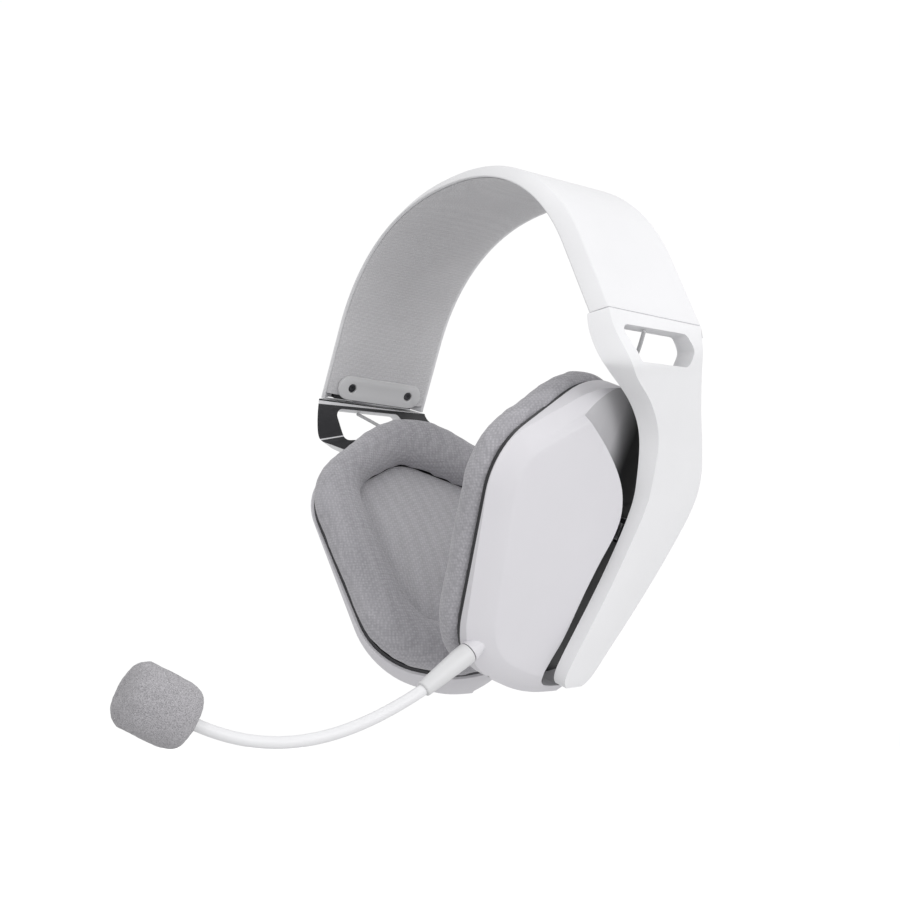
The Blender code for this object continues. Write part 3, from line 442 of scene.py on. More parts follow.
def moulded_plastic(name, colour, roughness, grain, depth, cloud=0.03):
    """Moulded plastic: fine texture, slow tone changes and faint handling marks."""
    s = Shader(name)
    tone = s.mix(s.noise(26.0, 3.0), shade_of(colour, 1.0 - cloud), shade_of(colour, 1.0 + cloud))
    marks = s.span(s.noise(7.0, 6.0, 0.7), roughness - 0.05, roughness + 0.09, (0.35, 0.75))
    height = s.math("ADD", s.noise(grain, 2.0), s.math("MULTIPLY", s.cells(grain * 1.7), 0.5))
    return s.finish(tone, marks, height, depth)


def knit(name, thread, gap, course, depth):
    """Weft knit: raised stitches in even columns, with a slightly hairy thread, and painted shade in the gaps
    between stitches.
    """
    s = Shader(name)
    stitches = s.span(s.cells(course, 0.35), 1.0, 0.0, (0.05, 0.62))
    columns = s.wave(course * 2.0, (0.0, 25.0, 35.0), 0.4)
    weave = s.math("ADD", s.math("MULTIPLY", stitches, 0.8), s.math("MULTIPLY", columns, 0.2))
    fuzz = s.noise(0.25, 3.0, 0.7)
    height = s.math("ADD", weave, s.math("MULTIPLY", fuzz, 0.25))
    # painted shade: the gaps between stitches take the darker gap colour
    tone = s.mix(weave, gap, thread)
    worn = s.mix(s.span(s.noise(18.0, 4.0), 0.0, 0.3), tone, shade_of(thread, 1.1))
    return s.finish(worn, 0.92, height, depth, Sheen_Weight=0.3, Sheen_Roughness=0.5,
                    Specular_IOR_Level=0.2)


def open_cell_foam(name, colour, pit, cell, depth):
    """Open-cell foam: irregular pits in painted shade, with bright rims between them."""
    s = Shader(name)
    pits = s.span(s.cells(cell), 0.0, 1.0, (0.05, 0.55))
    small = s.span(s.cells(cell * 0.45), 0.0, 1.0, (0.05, 0.6))
    height = s.math("ADD", s.math("MULTIPLY", pits, 0.6), s.math("MULTIPLY", small, 0.4))
    # painted shade: the pits take the darker pit colour
    tone = s.mix(height, pit, colour)
    tone = s.mix(s.span(s.noise(4.0, 4.0), 0.0, 0.3), tone, shade_of(colour, 1.2))
    return s.finish(tone, 0.97, height, depth, Sheen_Weight=0.2, Specular_IOR_Level=0.15)


def metal(name, colour, roughness, brushed):
    s = Shader(name)
    lines = s.wave(brushed, (0.0, 90.0, 0.0), 6.0)
    tone = s.mix(s.noise(3.0, 4.0), shade_of(colour, 0.9), shade_of(colour, 1.08))
    rough = s.span(lines, roughness - 0.06, roughness + 0.1)
    return s.finish(tone, rough, s.math("ADD", lines, s.noise(0.2, 3.0)), 0.01, Metallic=1.0)


def board(name):
    """Solder mask with darker traces under it."""
    s = Shader(name)
    traces = s.span(s.cells(2.4, 0.4), 0.0, 1.0, (0.35, 0.4))
    tone = s.mix(traces, (0.02, 0.12, 0.06), (0.05, 0.24, 0.11))
    return s.finish(tone, s.span(s.noise(2.0), 0.35, 0.5), traces, 0.03)


def recess_painted_shade(name, colour, dark):
    """Shell plastic with painted shade: it turns dark towards the back, under the yoke, where the shadow
    falls.
    """
    s = Shader(name)
    mirror = s.node("ShaderNodeVectorMath")
    mirror.operation = "ABSOLUTE"
    s.feed(mirror.inputs[0], s.place)
    split = s.node("ShaderNodeSeparateXYZ", Vector=mirror.outputs["Vector"])
    signed = s.node("ShaderNodeSeparateXYZ", Vector=s.place)
    back = s.math("ADD", s.math("MULTIPLY", split.outputs["X"], CUP_BACK.x),
                  s.math("MULTIPLY", signed.outputs["Y"], CUP_BACK.y))
    start = (CUP_ORIGIN[0] * CUP_BACK.x + CUP_ORIGIN[1] * CUP_BACK.y) * MM
    # painted shade: the colour ramps to near black from SHADE_FROM to SHADE_TO mm towards the back
    shade = s.span(back, 0.0, 1.0, (start + SHADE_FROM * MM, start + SHADE_TO * MM))
    tone = s.mix(shade, colour, dark)
    height = s.math("ADD", s.noise(0.35, 2.0), s.math("MULTIPLY", s.cells(0.6), 0.5))
    return s.finish(tone, s.span(s.noise(7.0, 6.0, 0.7), 0.5, 0.62, (0.35, 0.75)), height, 0.01)


WHITE = moulded_plastic("white_shell_plastic", (0.75, 0.75, 0.765), 0.42, 0.5, 0.006)
SLEEVE_WHITE = moulded_plastic("mic_sleeve_plastic", (0.64, 0.64, 0.65), 0.42, 0.5, 0.006)
GREY = moulded_plastic("light_grey_shell_plastic", (0.645, 0.635, 0.665), 0.5, 0.35, 0.01)
PLATE_GREY = moulded_plastic("end_plate_plastic", (0.6, 0.6, 0.61), 0.5, 0.35, 0.01)
# in each knit the second colour is the painted shade in the gaps between stitches
KNIT = knit("ear_pad_knit", (0.48, 0.47, 0.5), (0.29, 0.285, 0.305), 1.0, 0.22)
# grey shell plastic with painted shade, dark towards the back of the recess
RECESS_PAINTED_SHADE = recess_painted_shade("cup_recess_painted_shade", (0.5, 0.495, 0.515), (0.02, 0.02, 0.022))
LINING = knit("band_lining_knit", (0.66, 0.655, 0.67), (0.5, 0.495, 0.51), 0.8, 0.12)
CLOTH = knit("driver_cloth_knit", (0.6, 0.59, 0.62), (0.4, 0.395, 0.415), 0.9, 0.15)
# the second colour is the painted shade in the foam's pits
FOAM = open_cell_foam("windscreen_foam", (0.42, 0.41, 0.43), (0.26, 0.255, 0.27), 0.55, 0.35)
BLACK = moulded_plastic("black_plastic", (0.022, 0.022, 0.025), 0.5, 0.4, 0.02, 0.15)
STEEL = metal("brushed_steel", (0.62, 0.62, 0.64), 0.32, 0.3)
DARK_STEEL = metal("blackened_screw_steel", (0.07, 0.07, 0.075), 0.38, 0.4)
FILM = moulded_plastic("diaphragm_film", (0.72, 0.69, 0.63), 0.35, 1.2, 0.05)
BOARD = board("solder_mask")
FOIL = metal("battery_foil", (0.7, 0.7, 0.72), 0.35, 1.4)
WIRE = moulded_plastic("wire_sheath", (0.5, 0.5, 0.51), 0.45, 0.3, 0.01)


def dress(item, material, body, slot, *nodes):
    """Give a finished piece its material, body and the nodes it stands for; the slot argument is not used."""
    if material:
        item.data.materials.clear()
        item.data.materials.append(material)
    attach(item, body)
    if nodes:
        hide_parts(*nodes)
    return item


def pair(item, base, material, body, slot, *node_bases):
    """Dress a left piece and its mirror image on the right."""
    twin = mirrored(item, base + "_right_skin")
    for piece, side in ((item, "left"), (twin, "right")):
        dress(piece, material, body + side, slot, *[node + "_" + side for node in node_bases])
    return item, twin


# ------------------------------------------------------------------ frames and outlines
def frame_from(origin, x_axis, z_axis):
    z_unit = Vector(z_axis).normalized()
    x_unit = Vector(x_axis)
    x_unit = (x_unit - z_unit * x_unit.dot(z_unit)).normalized()
    rows = Matrix((x_unit, z_unit.cross(x_unit), z_unit)).transposed()
    return Matrix.Translation(Vector(origin)) @ rows.to_4x4()


CUP_FRAME = frame_from(CUP_ORIGIN, CUP_BACK, CUP_OUT)


def cup_point(u, v, w):
    return CUP_FRAME @ Vector((u, v, w))


def cup_coordinates(point):
    return CUP_FRAME.inverted() @ (Vector(point) / MM)


def rounded_outline(corners, radii, offset=0.0, steps=12):
    """Points of a polygon with rounded corners, grown outward by an offset."""
    points = []
    count = len(corners)
    for i in range(count):
        corner = Vector(corners[i])
        before = (corner - Vector(corners[i - 1])).normalized()
        after = (Vector(corners[(i + 1) % count]) - corner).normalized()
        start = math.atan2(before.y, before.x)
        turn = math.atan2(before.cross(after), before.dot(after))
        centre = corner + (after - before).normalized() * (radii[i] / math.cos(turn / 2))
        side = -math.pi / 2 if turn > 0 else math.pi / 2
        for step in range(steps + 1):
            angle = start + side + turn * step / steps
            points.append(centre + Vector((math.cos(angle), math.sin(angle))) * (radii[i] + offset))
    return points


def cup_outline(offset=0.0):
    return rounded_outline(CUP_CORNERS, CUP_RADII, offset)


def hole_outline(offset=0.0):
    return rounded_outline(HOLE_CORNERS, HOLE_RADII, offset)


def shrink(outline, factor, centre=CUP_CENTRE):
    centre = Vector(centre)
    return [centre + (point - centre) * factor for point in outline]


def smooth_path(points, steps):
    """Catmull-Rom curve through the points."""
    path = []
    last = len(points) - 1
    for i in range(last):
        p0 = points[max(i - 1, 0)]
        p1, p2 = points[i], points[i + 1]
        p3 = points[min(i + 2, last)]
        for step in range(steps):
            t = step / steps
            near = p1 * 2 + (p2 - p0) * t
            curve = (p0 * 2 - p1 * 5 + p2 * 4 - p3) * t ** 2
            bend = (p1 * 3 - p0 - p2 * 3 + p3) * t ** 3
            path.append((near + curve + bend) * 0.5)
    path.append(points[-1])
    return path


def relax(points, times):
    """Ease a row of points towards an even curve, its ends fixed."""
    for _ in range(times):
        middle = [(a + b * 2 + c) * 0.25 for a, b, c in zip(points, points[1:], points[2:])]
        points = [points[0]] + middle + [points[-1]]
    return points


# ------------------------------------------------------------------ headband
def arch_point(angle):
    """Point and outward direction on the outer face of the band."""
    power = 2.0 / ARCH_POWER
    sine, cosine = math.sin(abs(angle)), math.cos(angle)
    x = ARCH_HALF_SPAN * sine ** power
    z = ARCH_DEPTH * (cosine ** power - 1.0)
    out_x = (x / ARCH_HALF_SPAN) ** (ARCH_POWER - 1.0) / ARCH_HALF_SPAN
    out_z = (z / ARCH_DEPTH + 1.0) ** (ARCH_POWER - 1.0) / ARCH_DEPTH
    side = math.copysign(1.0, angle)
    return Vector((side * x, 0.0, z + APEX_HEIGHT)), Vector((side * out_x, 0.0, out_z)).normalized()


def flip(point):
    return Vector((-point[0], point[1], point[2]))


BEND_POINT, END_OUT = arch_point(ARCH_SWEEP)
END_DOWN = Vector((END_OUT.z, 0.0, -END_OUT.x))
BAND_END = BEND_POINT + END_DOWN * BAND_STRAIGHT


def band_stations(end_cut=0.0):
    angles = [ARCH_SWEEP * (2 * (i + 0.5) / ARCH_STEPS - 1) for i in range(ARCH_STEPS)]
    stations = [arch_point(angle) for angle in angles]
    ends = [(BEND_POINT + END_DOWN * (BAND_STRAIGHT - end_cut) * share, END_OUT)
            for share in (0.0, 0.25, 0.5, 0.75, 1.0)]
    return [(flip(p), flip(n)) for p, n in reversed(ends)] + stations + ends


def sweep_section(name, section, stations):
    rings = []
    for point, out in stations:
        rings.append([point + Vector((0, y, 0)) + out * (height - BAND_THICK) for y, height in section])
    return loft(name, rings)


def band_frame(up, height):
    """Frame at the band end: first axis to the back, third axis outward."""
    origin = BAND_END - END_DOWN * up + END_OUT * (height - BAND_THICK)
    return frame_from(origin, Vector((0, 1, 0)), END_OUT)


def make_headband():
    low = 0.6
    foot = BAND_INNER_HALF - low * (BAND_INNER_HALF - BAND_OUTER_HALF) / BAND_THICK
    lip = foot - 1.9
    inner_top = BAND_THICK - BAND_WALL
    inner_half = BAND_OUTER_HALF - 0.8
    corners = [(foot, low), (BAND_OUTER_HALF, BAND_THICK), (-BAND_OUTER_HALF, BAND_THICK), (-foot, low),
               (-lip, low), (-inner_half, inner_top), (inner_half, inner_top), (lip, low)]
    radii = [0.35, 1.1, 1.1, 0.35, 0.35, 0.4, 0.4, 0.35]
    section = rounded_outline(corners, radii, steps=4)
    shell = sweep_section("headband_skin", section, band_stations())
    soften(shell, 0.22, 2, 55.0)
    dress(shell, WHITE, "headband", "white_plastic", "headband_shell")


def make_lining():
    """Padded knit lining, crowned across its width and tucked in at the edges."""
    wide = BAND_INNER_HALF - 2.4
    section = []
    for i in range(LINING_STEPS + 1):
        share = -1.0 + 2.0 * i / LINING_STEPS
        crown = (1.0 - abs(share) ** 3.0) ** 0.5
        section.append((wide * share, 0.5 - (LINER_DROP + 0.8) * crown))
    inside = BAND_INNER_HALF - 3.2
    top = [(inside, 0.5), (inside, LINER_TOP), (0.0, LINER_TOP), (-inside, LINER_TOP), (-inside, 0.5)]
    lining = sweep_section("band_lining", section + top, band_stations(end_cut=2.5))
    soften(lining, 0.25, 3, 50.0, 60.0)
    dress(lining, LINING, "headband", "lining_fabric", "headband_liner")


def make_end_plates():
    outline = []
    reach = END_PLATE_HALF - END_PLATE_RADIUS
    for side in (1, -1):
        for step in range(END_ARC_STEPS + 1):
            angle = -math.pi / 2 + math.pi * step / END_ARC_STEPS
            across = reach + END_PLATE_RADIUS * math.cos(angle)
            outline.append((side * across, side * END_PLATE_RADIUS * math.sin(angle)))
    rings = []
    for height, inset in ((-LINER_DROP - 0.2, 1.0), (-LINER_DROP - 1.35, 1.0), (-LINER_DROP - 1.6, 0.965)):
        place = band_frame(END_PLATE_UP, height)
        rings.append([place @ Vector((x * inset, y * inset, 0)) for x, y in outline])
    plate = loft("end_plate_left_skin", rings)
    for y in (-END_SCREW_Y, END_SCREW_Y):
        hole = band_frame(END_PLATE_UP, -LINER_DROP - 0.8) @ Matrix.Translation((y, 0, 0))
        cut(plate, rod("hole", END_SCREW_HOLE, 4.0, hole))
    soften(plate, 0.2, 3)
    pair_on_band(plate, "end_plate", PLATE_GREY, "light_grey_plastic")


def pair_on_band(item, base, material, slot):
    twin = mirrored(item, base + "_right_skin")
    dress(item, material, "headband", slot, base + "_left")
    dress(twin, material, "headband", slot, base + "_right")


# ------------------------------------------------------------------ yoke
def fold_point(y):
    start = BAND_END + Vector((0, y, 0))
    level = (start - cup_point(0, 0, YOKE_LEVEL)).dot(CUP_OUT)
    return start + END_DOWN * (-level / END_DOWN.dot(CUP_OUT))


def yoke_edges():
    top = BAND_END + END_DOWN * YOKE_GAP
    sides = ((-BAND_OUTER_HALF, 0.6, 1.3, YOKE_FRONT), (BAND_OUTER_HALF, -1.0, 0.5, YOKE_REAR))
    edges = []
    for y, turn_in, sink, row in sides:
        start = top + Vector((0, y, 0))
        fold = fold_point(y + turn_in)
        lower = [cup_point(u, v, YOKE_LEVEL) for u, v in row]
        bend = [start.lerp(fold, 0.45) - END_OUT * sink, fold.lerp(lower[0], 0.35)]
        edges.append(smooth_path([start] + bend + lower, YOKE_STEPS))
    return edges


def along_profile(values, place):
    place = min(place, len(values) - 1.0)
    low = min(int(place), len(values) - 2)
    return values[low] + (values[low + 1] - values[low]) * (place - low)


def yoke_normals(front, rear):
    last = len(front) - 1
    normals = [END_OUT]
    for i in range(1, last + 1):
        after, before = min(i + 1, last), i - 1
        along = front[after] + rear[after] - front[before] - rear[before]
        out = (rear[i] - front[i]).cross(along).normalized()
        normals.append(out if out.dot(END_OUT + CUP_OUT) > 0 else -out)
    for _ in range(4 * YOKE_STEPS):
        middle = [(a + b * 2 + c).normalized() for a, b, c in zip(normals, normals[1:], normals[2:])]
        normals = [normals[0]] + middle + [normals[-1]]
    return normals


def yoke_rings():
    """Rings of four points around the yoke's path, their edges eased along the fold."""
    front, rear = yoke_edges()
    normals = yoke_normals(front, rear)
    lines = [[], [], [], []]
    for i in range(len(front)):
        across = (rear[i] - front[i]).normalized()
        spread = along_profile(YOKE_SPREAD, i / YOKE_STEPS)
        depth = YOKE_THICK + along_profile(YOKE_BULGE, i / YOKE_STEPS)
        lines[0].append(front[i])
        lines[1].append(front[i] - across * spread - normals[i] * depth)
        lines[2].append(rear[i] + across * spread - normals[i] * depth)
        lines[3].append(rear[i])
    lines = [relax(line, 14 if k in (1, 2) else 4) for k, line in enumerate(lines)]
    return [list(ring) for ring in zip(*lines)]


def make_yokes():
    yoke = loft("yoke_left_skin", yoke_rings())
    window = frame_from(fold_point(0.0), fold_point(20.0) - fold_point(-20.0), END_OUT + CUP_OUT)
    outline = rounded_outline(WINDOW, [WINDOW_ROUND] * len(WINDOW), steps=8)
    cutter = loft("window", [[window @ Vector((p.x, p.y, h)) for p in outline] for h in (-25.0, 15.0)])
    cut(yoke, cutter)
    slot_size = (2 * SLIDER_HALF + 6.4, 2 * SLIDER_FOOT, SLIDER_THICK + 0.6)
    cut(yoke, box("foot_slot", slot_size, band_frame(-YOKE_GAP, SLIDER_LEVEL)))
    soften(yoke, 0.7, 4, 34.0, 45.0)
    yoke.data.materials.append(WHITE)
    yoke.data.materials.append(BLACK)
    for face in yoke.data.polygons:
        inward = face.normal.dot(END_OUT) < -0.9 or face.normal.dot(CUP_OUT) < -0.9
        face.material_index = 1 if inward else 0
    pair(yoke, "yoke", None, "yoke_", "white_plastic", "yoke")


def make_wires():
    """Lead wire on each side, from the band end through the window to the top of the cup."""
    start = BAND_END + END_DOWN * WIRE_DROP - END_OUT * WIRE_SINK + Vector((0, WIRE_Y, 0))
    end = cup_point(*WIRE_END)
    middle = (start + end) / 2 + Vector((0.6, 1.2, 0.0))
    path = smooth_path([start, middle, end], 14)
    wire = smooth(tube("lead_wire_left_skin", path, WIRE_RADIUS, 16))
    pair(wire, "lead_wire", WIRE, "yoke_", "white_plastic", "lead_wire")


# ------------------------------------------------------------------ ear cup
def face_level(u):
    return 2.4 + 0.25 * (u + 42.0)


def shell_rings(inset, start):
    """Rings of the cup's outer form, with a soft chamfer between wall and face."""
    rings = []
    grow = RIM_GROW - inset
    if inset == 0.0:
        rings.append([cup_point(p.x, p.y, start) for p in cup_outline(grow - 0.35)])
        rings.append([cup_point(p.x, p.y, start + 0.12) for p in cup_outline(grow - 0.1)])
        start = start + 0.4
    side = cup_outline(grow)
    rings.append([cup_point(p.x, p.y, start) for p in side])
    edge_grow = BEVEL_GROW - 0.7 * inset
    for share in (0.0, 0.05, 0.12, 0.3, 0.5, 0.7, 0.88, 0.96, 1.0):
        outline = cup_outline(grow + (edge_grow - grow) * share)
        ring = []
        for p in outline:
            wall = max(-1.3, face_level(p.x) - BEVEL_DROP) - 0.4 * inset
            top = face_level(p.x) + 0.6 - inset
            rise = share + 0.1 * math.sin(math.pi * share)
            ring.append(cup_point(p.x, p.y, wall + (top - wall) * rise))
        rings.append(ring)
    for grow, rise in ((-5.6, 0.68), (-7.5, 0.73), (-10.0, 0.75)):
        outline = cup_outline(grow - inset)
        rings.append([cup_point(p.x, p.y, face_level(p.x) + rise - inset) for p in outline])
    field = cup_outline(-13.0 - inset)
    for factor in (1.0, 0.8, 0.6, 0.4, 0.2):
        rings.append([cup_point(p.x, p.y, face_level(p.x) + 0.75 - inset) for p in shrink(field, factor)])
    return rings


def recess_cutter(grow, floor, slope):
    edge = smooth_path([Vector(p) for p in RECESS_EDGE], 10)
    outline = [Vector((p.x - grow, p.y - grow * 0.5)) for p in edge]
    corners = ((CUTTER_BACK, -64.0), (CUTTER_BACK, CUTTER_TOP), (-34.0, CUTTER_TOP))
    outline += [Vector(corner) for corner in corners]
    low = [cup_point(p.x, p.y, floor + slope * (p.y - RECESS_BREAK)) for p in outline]
    return loft("recess", [low, [cup_point(p.x, p.y, CUTTER_RISE) for p in outline]])


def lip_cutters():
    """Blocks that trim the wall below the yoke's tip, sloping down to the back."""
    cutters = []
    blocks = ((LIP_START, LIP_END, LIP_HIGH, LIP_LOW), (LIP_END - 0.1, CUTTER_BACK, LIP_LOW, LIP_LOW))
    for near, far, high, low in blocks:
        corners = ((near, LIP_BOTTOM, high), (far, LIP_BOTTOM, low),
                   (far, LIP_TOP, low), (near, LIP_TOP, high))
        base = [cup_point(*corner) for corner in corners]
        cutters.append(loft("lip", [base, [cup_point(u, v, CUTTER_RISE) for u, v, _ in corners]]))
    return cutters


def edge_place(share, level):
    high, low = Vector(CUP_CORNERS[5]), Vector(CUP_CORNERS[4])
    along = (low - high).normalized()
    out = Vector((-along.y, along.x))
    spot = high + (low - high) * share + out * RIM_GROW
    third = CUP_BACK * out.x + CUP_UP * out.y
    first = CUP_BACK * along.x + CUP_UP * along.y
    return frame_from(cup_point(spot.x, spot.y, level), first, third)


def port_place():
    front, low = Vector(CUP_CORNERS[2]), Vector(CUP_CORNERS[3])
    along = (low - front).normalized()
    out = Vector((along.y, -along.x))
    spot = low - along * PORT_ALONG + out * (RIM_GROW - 1.0)
    third = CUP_BACK * out.x + CUP_UP * out.y
    first = CUP_BACK * along.x + CUP_UP * along.y
    return frame_from(cup_point(spot.x, spot.y, PORT_LEVEL), first, third)


def make_cup_shells():
    body = loft("cup_shell_left_skin", shell_rings(0.0, RIM_LOW))
    hollow = loft("hollow", shell_rings(SHELL_WALL, RIM_LOW - 1.0))
    for slope in (0.0, RECESS_SLOPE):
        cut(body, recess_cutter(0.0, RECESS_FLOOR, slope))
        cut(hollow, recess_cutter(SHELL_WALL, RECESS_FLOOR - SHELL_WALL, slope))
    cut(body, *lip_cutters())
    cut(hollow, box("keep_wall", (120.0, 30.0, 120.0), CUP_FRAME @ Matrix.Translation((0.0, -91.0, 0.0))))
    cut(body, hollow)
    twin = mirrored(body, "cup_shell_right_skin")
    for share in BUTTON_SHARES:
        cut(body, box("button_hole", BUTTON_HOLE, edge_place(share, CONTROL_LEVEL)))
    cut(body, box("wheel_hole", WHEEL_HOLE, edge_place(WHEEL_SHARE, CONTROL_LEVEL)))
    cut(body, box("port_hole", PORT_HOLE, port_place()))
    boss = [(0.0, -11.0), (1.6, -10.5), (2.9, -7.5), (SLEEVE_RADIUS + 0.1, -3.4), (SLEEVE_RADIUS + 0.1, -1.9),
            (0.0, -1.9)]
    cut(body, turned("mic_boss", boss, mic_frame(0.0)), operation="UNION")
    cut(body, rod("mic_seat", SLEEVE_RADIUS + 0.25, 10.0, mic_frame(2.75)))
    cut(body, rod("mic_hole", 1.5, 8.0, mic_frame(-4.0)))
    for item, side in ((body, "left"), (twin, "right")):
        soften(item, 0.5, 3, 38.0, 42.0)
        item.data.materials.append(GREY)
        item.data.materials.append(RECESS_PAINTED_SHADE)
        # faces on the recess floor and wall get the material with the painted shade
        for face in item.data.polygons:
            face.material_index = 1 if in_recess(face) else 0
        dress(item, None, "cup_" + side, "light_grey_plastic", "cup_shell_" + side)


def in_recess(face):
    """Whether a face of either cup shell is on the floor or the wall of the recess."""
    centre, normal = face.center.copy(), face.normal.copy()
    if centre.x < 0:
        centre, normal = flip(centre), flip(normal)
    place = cup_coordinates(centre)
    floor = RECESS_FLOOR + max(0.0, RECESS_SLOPE * (place.y - RECESS_BREAK))
    below = min(floor + 0.2, face_level(place.x) - 1.2)
    on_floor = abs(normal.dot(CUP_OUT)) > 0.9 and 3.5 < place.z < below
    on_wall = normal.dot(CUP_BACK) > 0.5 and place.x < 14.0 and 4.0 < place.z < face_level(place.x) - 0.2
    return on_floor or on_wall


# ------------------------------------------------------------------ soft goods
def pad_rings():
    outer, inner = cup_outline(PAD_GROW), hole_outline()
    section = smooth_path([Vector(p) for p in PAD_SECTION], 3)
    rings = []
    for share, depth in section:
        rings.append([cup_point(*(a + (b - a) * share), -depth) for a, b in zip(outer, inner)])
    return rings


def puff(item, held, pressure=4.0, voxel=3.2, most=1.6):
    """Inflate a closed form as cloth, with the held points fixed and the movement limited."""
    remesh = item.modifiers.new("remesh", "REMESH")
    remesh.mode = "VOXEL"
    remesh.voxel_size = voxel * MM
    apply_modifiers(item)
    rest = [v.co.copy() for v in item.data.vertices]
    group = item.vertex_groups.new(name="held")
    group.add([i for i, co in enumerate(rest) if held(co)], 1.0, "REPLACE")
    cloth = item.modifiers.new("cloth", "CLOTH")
    cloth.settings.quality = 6
    cloth.settings.use_pressure = True
    cloth.settings.uniform_pressure_force = pressure
    cloth.settings.vertex_group_mass = "held"
    cloth.settings.effector_weights.gravity = 0.0
    cloth.settings.tension_stiffness = 12.0
    cloth.settings.compression_stiffness = 12.0
    for step in range(1, 21):
        bpy.context.scene.frame_set(step)
    apply_modifiers(item)
    bpy.context.scene.frame_set(1)
    for vertex, start in zip(item.data.vertices, rest):
        move = vertex.co - start
        if move.length > most * MM:
            vertex.co = start + move.normalized() * most * MM
    even = item.modifiers.new("even", "SMOOTH")
    even.factor = 0.5
    even.iterations = 6
    finer = item.modifiers.new("finer", "SUBSURF")
    finer.levels = finer.render_levels = 1
    apply_modifiers(item)
    return smooth(item, 180.0)


def make_ear_pads():
    pad = loft("ear_pad_left_cushion", pad_rings(), closed=True)
    puff(pad, lambda co: cup_coordinates(co).z > PAD_HELD_ABOVE)
    for vertex in pad.data.vertices:
        place = cup_coordinates(vertex.co)
        if place.z > SEAM_LOW:
            vertex.co = cup_point(place.x, place.y, SEAM_LOW) * MM
    twin = mirrored(pad, "ear_pad_right_cushion")
    smooth(twin, 180.0)
    for item, side in ((pad, "left"), (twin, "right")):
        dress(item, KNIT, "cup_" + side, "knit_fabric", "ear_pad_" + side)


def make_seams():
    """Dark band seen between the shell's rim and the pad."""
    rings = [[cup_point(p.x, p.y, level) for p in cup_outline(RIM_GROW - 1.1)]
             for level in (SEAM_LOW - 1.2, RIM_LOW + 0.2)]
    inner = [[cup_point(p.x, p.y, level) for p in cup_outline(RIM_GROW - 2.6)]
             for level in (RIM_LOW + 0.2, SEAM_LOW - 1.2)]
    seam = smooth(loft("pad_seam_left", rings + inner, closed=True))
    twin = mirrored(seam, "pad_seam_right")
    for item, side in ((seam, "left"), (twin, "right")):
        dress(item, BLACK, "cup_" + side, "dark_plastic")


def make_driver_cloths():
    """Acoustic cloth stretched over the driver inside the pad's opening."""
    outline = hole_outline(CLOTH_TUCK)
    centre = (sum(p.x for p in outline) / len(outline), sum(p.y for p in outline) / len(outline))
    bm = bmesh.new()
    loops = []
    for factor in [1.0 - 0.08 * i for i in range(CLOTH_RINGS)]:
        bulge = CLOTH_BULGE * (1.0 - factor ** 2)
        ring = [cup_point(p.x, p.y, CLOTH_LEVEL - bulge) for p in shrink(outline, factor, centre)]
        loops.append([bm.verts.new(p) for p in ring])
    for low, high in zip(loops, loops[1:]):
        for i in range(len(low)):
            j = (i + 1) % len(low)
            bm.faces.new((low[i], low[j], high[j], high[i]))
    bm.faces.new(loops[-1])
    cloth = smooth(finish_mesh(bm, "driver_cloth_left_sheet"), 180.0)
    twin = smooth(mirrored(cloth, "driver_cloth_right_sheet"), 180.0)
    for item, side in ((cloth, "left"), (twin, "right")):
        dress(item, CLOTH, "cup_" + side, "knit_fabric", "driver_cloth_" + side)


# ------------------------------------------------------------------ microphone
MIC_AHEAD = Vector((*MIC_HEADING, 0.0)).normalized()
MIC_ORIGIN = cup_point(*MIC_POINT)


def mic_direction(rise):
    return MIC_AHEAD * math.cos(rise) + Vector((0, 0, 1)) * math.sin(rise)


MIC_AXIS = mic_direction(-MIC_DIP)
MIC_SIDE = MIC_AHEAD.cross(Vector((0, 0, 1)))


def mic_frame(along):
    return frame_from(MIC_ORIGIN + MIC_AXIS * along, MIC_SIDE, MIC_AXIS)


def boom_path(start, end, steps):
    sleeve_end = MIC_ORIGIN + MIC_AXIS * (SLEEVE_LENGTH + GAP)
    tip = MIC_ORIGIN + MIC_AHEAD * BOOM_END[0] + Vector((0, 0, BOOM_END[1]))
    handles = (sleeve_end, sleeve_end + mic_direction(-BOOM_DIP) * BOOM_REACH[0],
               tip - mic_direction(BOOM_RISE) * BOOM_REACH[1], tip)
    points = []
    for step in range(steps + 1):
        t = start + (end - start) * step / steps
        weights = ((1 - t) ** 3, 3 * t * (1 - t) ** 2, 3 * t ** 2 * (1 - t), t ** 3)
        points.append(sum((h * w for h, w in zip(handles, weights)), Vector()))
    return points


TIP_POINT = boom_path(1.0, 1.0, 1)[0]
TIP_AXIS = mic_direction(BOOM_RISE)


def tip_frame(along):
    return frame_from(TIP_POINT + TIP_AXIS * along, MIC_SIDE, TIP_AXIS)


def make_microphone():
    radius, length = SLEEVE_RADIUS, SLEEVE_LENGTH
    profile = [(1.25, -2.0), (radius - 0.2, -2.0), (radius, -1.8), (radius, 2.0), (radius - 0.4, length / 2),
               (radius - 0.9, length - 0.7), (radius - 1.0, length - 0.25), (radius - 1.3, length),
               (0.0, length), (0.0, 3.3), (1.25, 3.3)]
    sleeve = turned("mic_sleeve_skin", profile + [profile[0]], mic_frame(0.0))
    soften(sleeve, 0.15, 2, 60.0)
    dress(sleeve, SLEEVE_WHITE, "mic_boom", "white_plastic", "mic_sleeve")
    boom = smooth(tube("mic_boom_skin", boom_path(0.0, 1.0, 70), BOOM_RADIUS, 28), 60.0)
    boom.data.materials.append(WHITE)
    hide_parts("boom_root", "boom_tip")
    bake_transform(boom)
    make_windscreen()


